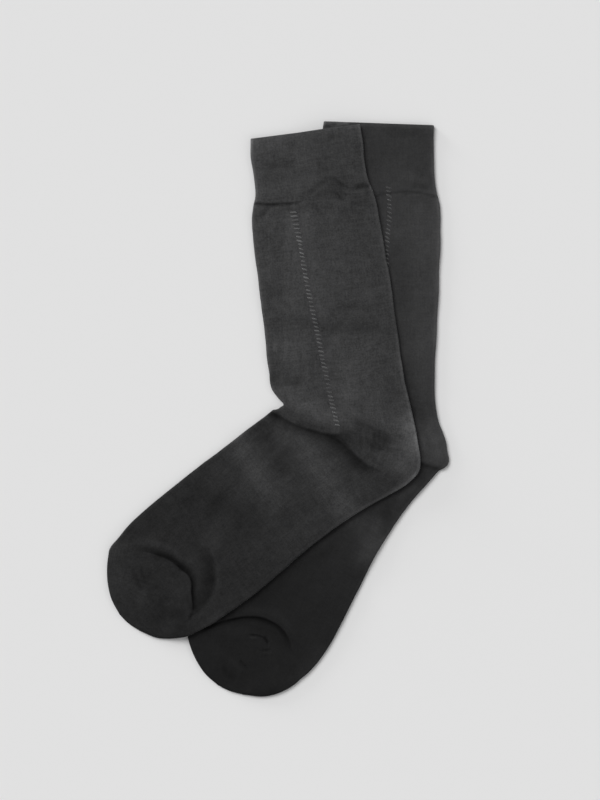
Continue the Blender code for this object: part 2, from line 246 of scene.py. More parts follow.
def tubeGrid(tube, s, inside):
    # points by row and column. Each fold is a half circle inside its outline, with a radius of
    # the wall plus half the gap; between them the panels run straight, leaning back by
    # lean * 4t(1 - t), and the upper one is raised by crown * (1 - (2t - 1)^crownPower); near
    # the toe's end everything closes as a circle does. The lean runs straight between the
    # sections, so that no row doubles back
    across, angle, side = loopColumns()
    wall = wallAt(tube, s)
    fold = wall + sockCut["panelGap"] / 2
    radius = fold - wall if inside else fold
    knots = tube["knots"]
    near = np.clip((s - (tube["end"] - fold)) / radius, 0, sockCut["toeClose"])
    closing = np.sqrt(1 - near ** 2)[:, None]
    depth = (fold - radius)[:, None] + radius[:, None] * (1 - np.cos(angle)) * closing
    line = np.full(s.shape, sockCut["waverLine"])
    waver = softWaves(s, line, tube["seed"], sockCut["edgeWaver"])
    ends = smoothStep((tube["end"] - sockCut["waverEnd"] - s) / sockCut["waverFade"])
    ends = smoothStep(s / sockCut["waverFrom"]) * ends
    depth = depth + (waver * ends)[:, None]
    frontWay = inward(tube, "fronts", s, 1)[:, None] * depth[..., None]
    backWay = inward(tube, "backs", s, -1)[:, None] * depth[..., None]
    front = outlineAt(tube, "fronts", s)[:, None] + frontWay
    back = outlineAt(tube, "backs", s)[:, None] + backWay
    t = across[None, :, None]
    lean = np.column_stack([np.interp(s, knots, tube["leans"][:, i]) for i in (0, 1)])[:, None]
    flat = front + (back - front) * t + lean * 4 * t * (1 - t)
    crown = (splineRows(knots, tube["heights"], s) - 2 * fold)[:, None]
    crown = crown * (1 - (2 * across - 1) ** sockCut["crownPower"])
    onPanel = (side > 0) & (angle == math.pi / 2)
    lift = side * radius[:, None] * np.sin(angle) + np.where(onPanel, crown, 0)
    height = fold[:, None] + lift * closing
    return np.concatenate([flat, height[..., None]], axis=2)


def downStations(tube, count, folds):
    # distances down the tube, set closer by 1 + gain * exp(-((s - place) / reach)^2) round each
    # fold and at the toe's end
    s = np.linspace(0, tube["end"], sockCut["rowSamples"])
    weight = np.ones(s.shape)
    for place, reach, gain in [(tube["end"], *sockCut["toeRows"])] + folds:
        weight += gain * np.exp(-((s - place) / reach) ** 2)
    total = np.cumsum(weight)
    total = (total - total[0]) / (total[-1] - total[0])
    return np.interp(np.linspace(0, 1, count), total, s)


# what all creases and patches share; a sock's own dictionary gives each one's path, depth and
# widths
foldShape = {
    "pathSteps": 8,         # for each of its points
    "narrow": 4,            # those under this width fade at both ends
    "fade": (0.25, 0.3),    # shares of the length
    "uneven": 0.2,
    "unevenTurns": (17, 7),         # radians along it
    "widths": 3,            # how far from its line it's worked out, in widths
    "lipWidths": 5,
    "lipSoft": 0.45,
    "edgeDrop": 0.25,       # how much lower a lip is at its very edge
    "edgeDropWidth": 0.5,
    "overAt": 0.4,          # where an overhang is widest
    "overWidth": 0.8,
    # a painted highlight along a lip's edge: where it starts and how wide it is
    "litFrom": -0.3,        # the light line on a lip's edge
    "litWidth": 0.9,
    # width of the painted light and shade along the folds at the sides
    "paintedRimWidth": 1.7,        # light along the folds at the sides
}


def curveThrough(points):
    # smooth line through the given points, by their running length
    points = np.asarray(points, float)
    run = np.concatenate([[0], np.cumsum(np.linalg.norm(np.diff(points, axis=0), axis=1))])
    return splineRows(run, points, np.linspace(0, run[-1], foldShape["pathSteps"] * len(points)))


def besideCurve(x, y, curve):
    # signed distance to a curve (positive on its left), share of its length, and its left
    best = np.full(x.shape, 1e9)
    signed = np.full(x.shape, 1e9)
    share = np.zeros(x.shape)
    left = np.zeros(x.shape + (2,))
    lengths = np.linalg.norm(np.diff(curve, axis=0), axis=1)
    passed = np.concatenate([[0], np.cumsum(lengths)])
    for i, length in enumerate(lengths):
        way = (curve[i + 1] - curve[i]) / length
        px, py = x - curve[i, 0], y - curve[i, 1]
        run = np.clip(px * way[0] + py * way[1], 0, length)
        distance = np.hypot(px - run * way[0], py - run * way[1])
        nearer = distance < best
        turned = np.where(way[0] * py - way[1] * px >= 0, 1, -1)
        best = np.where(nearer, distance, best)
        signed = np.where(nearer, distance * turned, signed)
        share = np.where(nearer, (passed[i] + run) / passed[-1], share)
        left[nearer] = (-way[1], way[0])
    return signed, share, left


def creaseProfile(crease, signed, share, widen=0.0):
    # exp(-(d / width)^2) with its own width on each side, uneven along the fold. Narrow ones
    # fade at both ends, and wide ones end round
    right = crease.get("right", crease["width"]) + widen
    width = np.where(signed > 0, crease["width"] + widen, right)
    fade = np.ones(share.shape)
    if crease["width"] < foldShape["narrow"] or "fade" in crease:
        ends = crease.get("fade", foldShape["fade"])
        fade = smoothStep(share / ends[0]) * smoothStep((1 - share) / ends[1])
    quick, slow = [np.sin(share * turns + start)
                   for turns, start in zip(foldShape["unevenTurns"], crease["path"][0])]
    uneven = 1 + foldShape["uneven"] * quick * slow
    profile = np.exp(-(signed / width) ** 2) * uneven * fade
    if "lip" in crease:
        soft = crease.get("soft", foldShape["lipSoft"])
        profile = profile * (1 - smoothStep((signed + soft) / (2 * soft)))
    return profile, fade


def nearCurve(x, y, crease, reach):
    curve = curveThrough(crease["path"])
    low, high = curve.min(axis=0) - reach, curve.max(axis=0) + reach
    near = (x > low[0]) & (x < high[0]) & (y > low[1]) & (y < high[1])
    return near, curve


def creaseRelief(x, y, creases, widen=0.0):
    # the sum over the creases of -depth * profile. One with a lip is a step: on its left the
    # cloth rises by lip * exp(-d / lipWidth) up to the edge, on its right it lies that much
    # lower, and an overhang moves the edge sideways by over * exp(-((d - overAt) / overWidth)^2)
    height = np.zeros(x.shape)
    shift = np.zeros(x.shape + (2,))
    for crease in creases:
        lipWidth = crease.get("lipWidth", 0)
        wide = max(crease["width"], crease.get("right", 0)) + widen
        reach = max(foldShape["lipWidths"] * lipWidth, foldShape["widths"] * wide)
        near, curve = nearCurve(x, y, crease, reach)
        if not near.any():
            continue
        signed, share, left = besideCurve(x[near], y[near], curve)
        profile, fade = creaseProfile(crease, signed, share, widen)
        relief = -crease["depth"] * profile
        if lipWidth and not widen:
            soft = crease.get("soft", foldShape["lipSoft"])
            edge = smoothStep((signed + soft) / (2 * soft))
            away = np.maximum(signed, 0)
            rise = np.exp(-away / lipWidth) * edge
            drop = foldShape["edgeDrop"] * np.exp(-away / foldShape["edgeDropWidth"])
            relief += crease["lip"] * rise * (1 - drop) * fade
            overhang = np.exp(-((signed - foldShape["overAt"]) / foldShape["overWidth"]) ** 2)
            lean = crease.get("over", 0) * overhang * fade
            shift[near] -= left * lean[..., None]
        height[near] += relief
    return height, shift


def softWaves(x, y, seed, waves):
    # slow unevenness of laid cloth: sines of the given lengths in scattered directions
    draw = np.random.default_rng(seed)
    ways = sockCut["waveWays"]
    total = np.zeros(x.shape)
    for length, rise in waves:
        for _ in range(ways):
            angle = draw.uniform(0, math.pi)
            phase = draw.uniform(0, 2 * math.pi)
            along = x * math.cos(angle) + y * math.sin(angle)
            total += rise / math.sqrt(ways) * np.sin(2 * math.pi * along / length + phase)
    return total


def heightMap(points, step=2.0, reach=10.0):
    # height that cloth takes when it is laid over these points: the highest point in each cell,
    # carried out by reach and then averaged over a disc of it
    low = points[:, :2].min(axis=0) - 3 * reach
    cells = np.ceil((points[:, :2].max(axis=0) + 3 * reach - low) / step).astype(int)
    heights = np.zeros(cells)
    i, j = np.floor((points[:, :2] - low) / step + 0.5).astype(int).T
    np.maximum.at(heights, (i, j), points[:, 2])
    span = int(reach / step)
    discs = [(a, b) for a in range(-span, span + 1) for b in range(-span, span + 1)
             if math.hypot(a, b) <= span]
    spread = np.maximum.reduce([np.roll(heights, disc, (0, 1)) for disc in discs])
    shares = [math.cos(math.pi / 2 * math.hypot(a, b) / (span + 1)) for a, b in discs]
    total = sum(share * np.roll(spread, disc, (0, 1)) for disc, share in zip(discs, shares))
    return {"low": low, "step": step, "heights": total / sum(shares)}


def readMap(chart, x, y):
    # height between the four nearest cells
    i = np.clip((x - chart["low"][0]) / chart["step"], 0, chart["heights"].shape[0] - 1.001)
    j = np.clip((y - chart["low"][1]) / chart["step"], 0, chart["heights"].shape[1] - 1.001)
    a, b = i.astype(int), j.astype(int)
    u, v = i - a, j - b
    rows = chart["heights"]
    near = rows[a, b] * (1 - u) * (1 - v) + rows[a + 1, b] * u * (1 - v)
    return near + rows[a, b + 1] * (1 - u) * v + rows[a + 1, b + 1] * u * v


def dressedGrid(sock, tube, s, inside, laid):
    # the plain tube with its folds and unevenness, lying on the floor or over the other sock.
    # A fold on the upper panel goes down by room * tanh(depth / room), where room is what the
    # cloth under it leaves free, and those underneath only go up, so that it still rests flat.
    # Past the mouth the inside face keeps near the lower panel, clear of the folds over it
    grid = tubeGrid(tube, s, inside)
    across, angle, side = loopColumns()
    x, y, z = grid[..., 0], grid[..., 1], grid[..., 2]
    under = readMap(laid, x, y) if laid else np.zeros(x.shape)
    under = under + sockCut["layGap"] * np.clip(under, 0, 1)
    widen = sockCut["widerInside"] if inside else 0.0
    rise, shift = creaseRelief(x, y, sock["creases"], widen)
    hidden = -creaseRelief(x, y, sock["hiddenCreases"], widen)[0]
    hidden = np.clip(hidden, 0, sockCut["hiddenMost"])
    rise = rise + softWaves(x, y, sock["seed"], sock["waves"])
    if not inside:
        hem = [lift * np.exp(-((s - place) / reach) ** 2) for place, reach, lift in sockCut["hem"]]
        rise = rise + sum(hem)[:, None]
    bend = np.sin(angle)[None] ** sockCut["creasePower"]
    last = smoothStep((tube["end"] - s) / sockCut["toeStill"])[:, None]
    wall = wallAt(tube, s)[:, None]
    floor = wall + hidden * bend * last + sockCut["roomInside" if inside else "roomOutside"]
    room = np.maximum(z - floor, sockCut["roomLeast"])
    change = rise * bend * last
    down = room * np.tanh(np.maximum(-change, 0) / room)
    upper = z + np.maximum(change, 0) - down
    if inside:
        past = smoothStep((s - sockCut["dropFrom"]) / sockCut["dropRun"])[:, None]
        upper = upper + (floor - upper) * sockCut["insideDrop"] * past * bend
    z = np.where(side > 0, upper, z + hidden * bend * last)
    weight = np.where(side > 0, bend, 0) * last
    grid[..., :2] += shift * weight[..., None]
    grid[..., 2] = z + under
    return grid


def endFaces(ring, flip):
    # closes the toe: each lower edge meets one upper edge in the folds and two on the panel
    upper, bend = sockCut["upper"], sockCut["bend"]
    lower = sockCut["lower"]
    count = len(ring)
    low = [(-k) % count for k in range(2 * bend + lower + 1)]
    high = [k if k <= bend else min(bend + 2 * (k - bend), k + upper - lower)
            for k in range(2 * bend + lower + 1)]
    faces = []
    for k in range(len(low) - 1):
        corners = [low[k], low[k + 1]] + list(range(high[k + 1], high[k] - 1, -1))
        corners = list(dict.fromkeys(corners))
        face = [int(ring[c]) for c in corners]
        faces.append(face[::-1] if flip else face)
    return faces


def sockMesh(name, tube, outer, inner, rows, tones):
    # the outer and inner faces, a round rim at the mouth and a closed toe. The knit's map
    # counts millimetres round the tube and down it
    cols = outer.shape[1]
    middle = (outer[0] + inner[0]) / 2
    half = (outer[0] - inner[0]) / 2
    reach = np.linalg.norm(half, axis=1, keepdims=True)
    turns = np.radians(sockCut["rimTurns"])
    rim = np.array([middle + half * math.cos(a) + tube["mouthWay"] * reach * math.sin(a) for a in turns])
    grid = np.concatenate([inner[::-1], rim, outer])
    total = len(grid)
    index = np.arange(total * cols).reshape(total, cols)
    after = np.roll(index, -1, axis=1)
    quads = np.stack([index[:-1], index[1:], after[1:], after[:-1]], axis=-1).reshape(-1, 4)
    faces = quads.tolist() + endFaces(index[-1], False) + endFaces(index[0], True)
    mesh = bpy.data.meshes.new(name)
    mesh.from_pydata((grid.reshape(-1, 3) * mm).tolist(), [], faces)
    mesh.polygons.foreach_set("use_smooth", np.ones(len(mesh.polygons), bool))
    # millimetres round the tube at the middle of the leg, so that each wale keeps its column
    girth = outer[len(outer) // 3]
    steps = np.linalg.norm(np.roll(girth, -1, axis=0) - girth, axis=1)
    around = np.concatenate([[0], np.cumsum(steps)])
    down = np.concatenate([rows[1][::-1], -reach.mean() * np.sin(turns), rows[0]])
    corners = np.zeros(len(mesh.loops), int)
    mesh.loops.foreach_get("vertex_index", corners)
    row, col = corners // cols, corners % cols
    place = np.arange(len(corners))
    wraps = (place < 4 * len(quads)) & (place % 4 >= 2) & (col == 0)
    u = around[np.where(wraps, cols, col)]
    layer = mesh.uv_layers.new(name="knit")
    layer.data.foreach_set("uv", (np.column_stack([u, down[row]]) * mm).ravel())
    # the tone attribute, with its painted light and shade; the mouth's rim takes the outer face's first row
    edge = np.repeat(tones[0][:1], len(rim), axis=0)
    values = np.concatenate([tones[1][::-1], edge, tones[0]])
    mesh.attributes.new("tone", "FLOAT", "POINT").data.foreach_set("value", values.ravel())
    mesh.update()
    piece = bpy.data.objects.new(name, mesh)
    bpy.context.collection.objects.link(piece)
    return piece


def toneOf(sock, tube, grid, s):
    # the tone attribute, the yarn's own tone with painted light and shade in it: stops down the leg and down
    # the foot, which meet at the ankle's line and darken towards the toe, changed along the folds and patches
    # by tone * profile, painted shade below 0 and painted light above it, and a painted light line on a lip's
    # edge by its edge gain * exp(-(distance from the edge) / litWidth)
    x, y = grid[..., 0], grid[..., 1]
    legTone = np.interp(s, *np.array(sock["legToneAndShade"]).T)[:, None]
    footTone = np.interp(s, *np.array(sock["footToneAndShade"]).T)[:, None]
    line = sock["ankleLine"]
    signed, share, left = besideCurve(x, y, curveThrough(line["path"]))
    soft = np.interp(share, *np.array(line["soft"]).T)
    onLeg = smoothStep(signed / soft / 2 + 0.5)
    tone = footTone + (legTone - footTone) * onLeg
    for crease in sock["creases"] + sock["paintedLightAndShade"]:
        if "tone" not in crease:
            continue
        wide = max(crease["width"], crease.get("right", 0))
        near, curve = nearCurve(x, y, crease, foldShape["widths"] * wide)
        signed, share, left = besideCurve(x[near], y[near], curve)
        profile, fade = creaseProfile(crease, signed, share)
        gain = 1 + crease["tone"] * profile
        if "paintedEdgeLight" in crease:
            lit = np.exp(-np.maximum(signed, 0) / foldShape["litWidth"])
            lit = np.where(signed > foldShape["litFrom"], lit, 0)
            gain = gain + crease["paintedEdgeLight"] * lit * fade
        tone[near] *= gain
    # painted light along the side folds, and painted shade along them where gain is below 0: 1 + gain *
    # exp(-(distance / width)^2)
    for name in ("fronts", "backs"):
        fold = outlineAt(tube, name, s)[:, None]
        away = np.hypot(x - fold[..., 0], y - fold[..., 1])
        gain = np.interp(s, *np.array(sock["paintedRimShading"][name]).T)[:, None]
        tone *= 1 + gain * np.exp(-(away / foldShape["paintedRimWidth"]) ** 2)
    return tone


# the clocks' stitches, and how unevenly a hand sets them
stitch = {
    "pitch": 3.2,
    "length": 4.7,
    "width": 1.35,
    "height": 0.58,
    "under": 0.45,          # how far its underside goes down
    "sunk": 0.12,
    "sway": 0.18,
    "astray": 0.08,         # share of the pitch
    "turn": 7,              # degrees
    "size": (0.78, 1.12),
    "tone": (0.7, 1.3),
    "rings": 7,
    "sides": 8,
    "chartStep": 1.2,       # cells of the map of the knit that they sit on
}


def stitchRun(name, sock, chart):
    # slanted stitches down the clock: each is an ellipsoid set into the knit, length * cos(u) by
    # width * sin(u) * cos(v) wide and height * sin(u) * sin(v) tall, or under * sin(u) * sin(v)
    # on its underside, and it bows sideways by sway * sin(its length)
    clock = sock["clock"]
    draw = np.random.default_rng(clock["seed"])
    curve = curveThrough(clock["path"])
    run = np.concatenate([[0], np.cumsum(np.linalg.norm(np.diff(curve, axis=0), axis=1))])
    count = int(run[-1] / stitch["pitch"])
    astray = draw.uniform(-stitch["astray"], stitch["astray"], count)
    at = (np.arange(count) + 0.5 + astray) * stitch["pitch"]
    cx, cy = np.interp(at, run, curve[:, 0]), np.interp(at, run, curve[:, 1])
    slant = np.interp(at / run[-1], *np.array(clock["slants"]).T)
    slant = np.radians(slant + draw.uniform(-stitch["turn"], stitch["turn"], count))
    size = np.interp(at / run[-1], *np.array(clock["sizes"]).T) * draw.uniform(*stitch["size"], count)
    u = np.linspace(0, math.pi, stitch["rings"] + 2)[1:-1]
    v = np.linspace(2 * math.pi, 0, stitch["sides"] + 1)[:-1]
    gridU, gridV = np.meshgrid(u, v, indexing="ij")
    half = stitch["length"] / 2
    along = (-np.cos(gridU) * half).ravel()
    wide = (np.sin(gridU) * np.cos(gridV) * stitch["width"] / 2).ravel()
    tall = (np.sin(gridU) * np.sin(gridV)).ravel()
    along = np.concatenate([[-half], along, [half]])
    wide = np.concatenate([[0], wide, [0]])
    tall = np.concatenate([[0], tall, [0]])
    tall = np.where(tall > 0, tall * stitch["height"], tall * stitch["under"]) - stitch["sunk"]
    sway = wide + stitch["sway"] * np.sin(along / half * math.pi)
    px = cx[:, None] + size[:, None] * (along * np.cos(slant)[:, None] - sway * np.sin(slant)[:, None])
    py = cy[:, None] + size[:, None] * (along * np.sin(slant)[:, None] + sway * np.cos(slant)[:, None])
    pz = readMap(chart, px, py) + tall
    each = len(along)
    rings, sides = len(u), len(v)
    ring = 1 + np.arange(rings * sides).reshape(rings, sides)
    nextSide = np.roll(ring, -1, axis=1)
    quads = np.stack([ring[:-1], ring[1:], nextSide[1:], nextSide[:-1]], axis=-1).reshape(-1, 4)
    first = np.stack([np.zeros(sides, int), ring[0], nextSide[0]], axis=-1)
    final = np.stack([np.full(sides, each - 1), nextSide[-1], ring[-1]], axis=-1)
    starts = (np.arange(count) * each)[:, None, None]
    faces = (quads + starts).reshape(-1, 4).tolist() + (first + starts).reshape(-1, 3).tolist()
    faces += (final + starts).reshape(-1, 3).tolist()
    points = np.stack([px, py, pz], axis=-1).reshape(-1, 3) * mm
    mesh = bpy.data.meshes.new(name)
    mesh.from_pydata(points.tolist(), [], faces)
    mesh.polygons.foreach_set("use_smooth", np.ones(len(mesh.polygons), bool))
    light = np.interp(at / run[-1], *np.array(clock["tones"]).T) * draw.uniform(*stitch["tone"], count)
    tone = mesh.attributes.new("tone", "FLOAT", "POINT")
    tone.data.foreach_set("value", np.repeat(light, each))
    mesh.update()
    piece = bpy.data.objects.new(name, mesh)
    bpy.context.collection.objects.link(piece)
    return piece


def addNode(tree, kind, place, **values):
    node = tree.nodes.new(kind)
    node.location = place
    for key, value in values.items():
        setattr(node, key, value)
    return node


def sums(tree, operation, first, second, place, third=None):
    node = addNode(tree, "ShaderNodeMath", place, operation=operation)
    for socket, value in zip(node.inputs, (first, second, third)):
        if value is None:
            continue
        if isinstance(value, (int, float)):
            socket.default_value = value
        else:
            tree.links.new(value, socket)
    return node.outputs[0]


# soft black yarn, seen as dark charcoal
knitYarn = {
    "colour": (0.0425, 0.0425, 0.0431),
    "cloud": 0.35,          # unevenness of the tone, as a share: broad,
    "fleck": 0.75,          # in flecks,
    "streak": 0.60,         # along the wales and the courses
    "fuzz": 1.40,           # and in the fuzz
    "cloudNoise": (60, 2, 0.6),     # how fine each of them is, its detail and its roughness
    "fleckNoise": (210, 3, 0.6),
    "fuzzNoise": (800, 3, 0.7),
    "streakNoise": (1, 3, 0.6),     # on a map stretched by these
    "waleScale": (700, 90, 1),
    "courseScale": (70, 520, 1),
    "darkest": 0.3,
    "wale": 1.1,            # millimetres between columns of stitches
    "course": 0.85,         # and between rows
    "legSlant": -1.3,       # of a stitch's two legs, in rows
    "rib": -3.2,            # heights of the bump
    "loop": 0.28,
    "bump": 0.35,
    "bumpDepth": 0.0003,    # metres
    "roughness": 0.88,
    "shine": 0.1,
    "sheen": 0.40,
    "sheenRoughness": 0.22,
    "sheenTint": (0.9, 0.9, 0.92, 1),
}


def noiseOn(tree, vector, name, place):
    scale, detail, roughness = knitYarn[name + "Noise"]
    node = addNode(tree, "ShaderNodeTexNoise", place)
    node.inputs["Scale"].default_value = scale
    node.inputs["Detail"].default_value = detail
    node.inputs["Roughness"].default_value = roughness
    tree.links.new(vector, node.inputs["Vector"])
    return node.outputs[0]


def knitMaterial():
    # yarn * tone attribute (the yarn's tone with painted light and shade) * (1 + mottle attribute * the
    # noises' sum, each about zero); the bump is rows of V stitches with some fuzz
    material = bpy.data.materials.new("fineKnit")
    material.use_nodes = True
    tree = material.node_tree
    shader = tree.nodes["Principled BSDF"]
    where = addNode(tree, "ShaderNodeTexCoord", (-1800, 0))
    map2d = addNode(tree, "ShaderNodeUVMap", (-1800, -400), uv_map="knit")
    tone = addNode(tree, "ShaderNodeAttribute", (-1200, 400), attribute_name="tone")
    mottle = addNode(tree, "ShaderNodeAttribute", (-1200, 600), attribute_name="mottle")
    cloud = noiseOn(tree, where.outputs["Object"], "cloud", (-1500, 300))
    fleck = noiseOn(tree, where.outputs["Object"], "fleck", (-1500, 200))
    fuzz = noiseOn(tree, where.outputs["Object"], "fuzz", (-1500, 100))
    streaks = []
    for key, high in (("waleScale", -100), ("courseScale", -200)):
        stretch = addNode(tree, "ShaderNodeMapping", (-1600, high))
        stretch.inputs["Scale"].default_value = knitYarn[key]
        tree.links.new(map2d.outputs["UV"], stretch.inputs["Vector"])
        streaks.append(noiseOn(tree, stretch.outputs["Vector"], "streak", (-1400, high)))
    parts = ((cloud, "cloud"), (fleck, "fleck"), (streaks[0], "streak"), (streaks[1], "streak"),
             (fuzz, "fuzz"))
    light = -sum(knitYarn[key] for noise, key in parts) / 2
    for noise, key in parts:
        light = sums(tree, "MULTIPLY_ADD", noise, knitYarn[key], (-1200, 200), light)
    light = sums(tree, "MULTIPLY_ADD", light, mottle.outputs["Fac"], (-1050, 200), 1.0)
    light = sums(tree, "MAXIMUM", light, knitYarn["darkest"], (-900, 200))
    light = sums(tree, "MULTIPLY", light, tone.outputs["Fac"], (-800, 200))
    colour = addNode(tree, "ShaderNodeMix", (-500, 300), data_type="RGBA", blend_type="MULTIPLY")
    colour.inputs["Factor"].default_value = 1.0
    colour.inputs["A"].default_value = (*knitYarn["colour"], 1)
    tree.links.new(light, colour.inputs["B"])
    tree.links.new(colour.outputs["Result"], shader.inputs["Base Color"])
    apart = addNode(tree, "ShaderNodeSeparateXYZ", (-1600, -400))
    tree.links.new(map2d.outputs["UV"], apart.inputs["Vector"])
    wales = sums(tree, "MULTIPLY", apart.outputs["X"], 1 / mm / knitYarn["wale"], (-1400, -400))
    offset = sums(tree, "FRACT", wales, None, (-1250, -400))
    offset = sums(tree, "SUBTRACT", offset, 0.5, (-1100, -400))
    offset = sums(tree, "ABSOLUTE", offset, None, (-950, -400))
    rib = sums(tree, "MULTIPLY", offset, offset, (-800, -400))
    courses = sums(tree, "MULTIPLY", apart.outputs["Y"], 1 / mm / knitYarn["course"], (-1400, -600))
    slant = sums(tree, "MULTIPLY_ADD", offset, knitYarn["legSlant"], (-950, -600), courses)
    loop = sums(tree, "SINE", sums(tree, "MULTIPLY", slant, 2 * math.pi, (-800, -600)), None, (-650, -600))
    height = sums(tree, "MULTIPLY_ADD", rib, knitYarn["rib"], (-500, -500), fuzz)
    height = sums(tree, "MULTIPLY_ADD", loop, knitYarn["loop"], (-350, -500), height)
    bump = addNode(tree, "ShaderNodeBump", (-200, -400))
    bump.inputs["Strength"].default_value = knitYarn["bump"]
    bump.inputs["Distance"].default_value = knitYarn["bumpDepth"]
    tree.links.new(height, bump.inputs["Height"])
    tree.links.new(bump.outputs["Normal"], shader.inputs["Normal"])
    shader.inputs["Roughness"].default_value = knitYarn["roughness"]
    shader.inputs["Specular IOR Level"].default_value = knitYarn["shine"]
    shader.inputs["Sheen Weight"].default_value = knitYarn["sheen"]
    shader.inputs["Sheen Roughness"].default_value = knitYarn["sheenRoughness"]
    shader.inputs["Sheen Tint"].default_value = knitYarn["sheenTint"]
    return material


# the paler embroidery yarn of the clocks
clockYarn = {
    "dark": (0.060, 0.060, 0.061, 1),
    "pale": (0.110, 0.110, 0.112, 1),
    "plies": 420,
    "twist": 3,
    "bump": 0.4,
    "bumpDepth": 0.0002,    # metres
    "roughness": 0.8,
    "sheen": 0.3,
}


def clockMaterial():
    # two twisted plies, a dark and a pale tone, multiplied by the tone attribute
    material = bpy.data.materials.new("clockYarn")
    material.use_nodes = True
    tree = material.node_tree
    shader = tree.nodes["Principled BSDF"]
    where = addNode(tree, "ShaderNodeTexCoord", (-1000, 0))
    ply = addNode(tree, "ShaderNodeTexWave", (-800, 0), bands_direction="DIAGONAL")
    ply.inputs["Scale"].default_value = clockYarn["plies"]
    ply.inputs["Distortion"].default_value = clockYarn["twist"]
    tree.links.new(where.outputs["Object"], ply.inputs["Vector"])
    ramp = addNode(tree, "ShaderNodeValToRGB", (-600, 100))
    ramp.color_ramp.elements[0].color = clockYarn["dark"]
    ramp.color_ramp.elements[1].color = clockYarn["pale"]
    tree.links.new(ply.outputs["Fac"], ramp.inputs["Fac"])
    tone = addNode(tree, "ShaderNodeAttribute", (-600, 350), attribute_name="tone")
    colour = addNode(tree, "ShaderNodeMix", (-300, 200), data_type="RGBA", blend_type="MULTIPLY")
    colour.inputs["Factor"].default_value = 1.0
    tree.links.new(ramp.outputs["Color"], colour.inputs["A"])
    tree.links.new(tone.outputs["Fac"], colour.inputs["B"])
    tree.links.new(colour.outputs["Result"], shader.inputs["Base Color"])
    bump = addNode(tree, "ShaderNodeBump", (-300, -200))
    bump.inputs["Strength"].default_value = clockYarn["bump"]
    bump.inputs["Distance"].default_value = clockYarn["bumpDepth"]
    tree.links.new(ply.outputs["Fac"], bump.inputs["Height"])
    tree.links.new(bump.outputs["Normal"], shader.inputs["Normal"])
    shader.inputs["Roughness"].default_value = clockYarn["roughness"]
    shader.inputs["Sheen Weight"].default_value = clockYarn["sheen"]
    return material


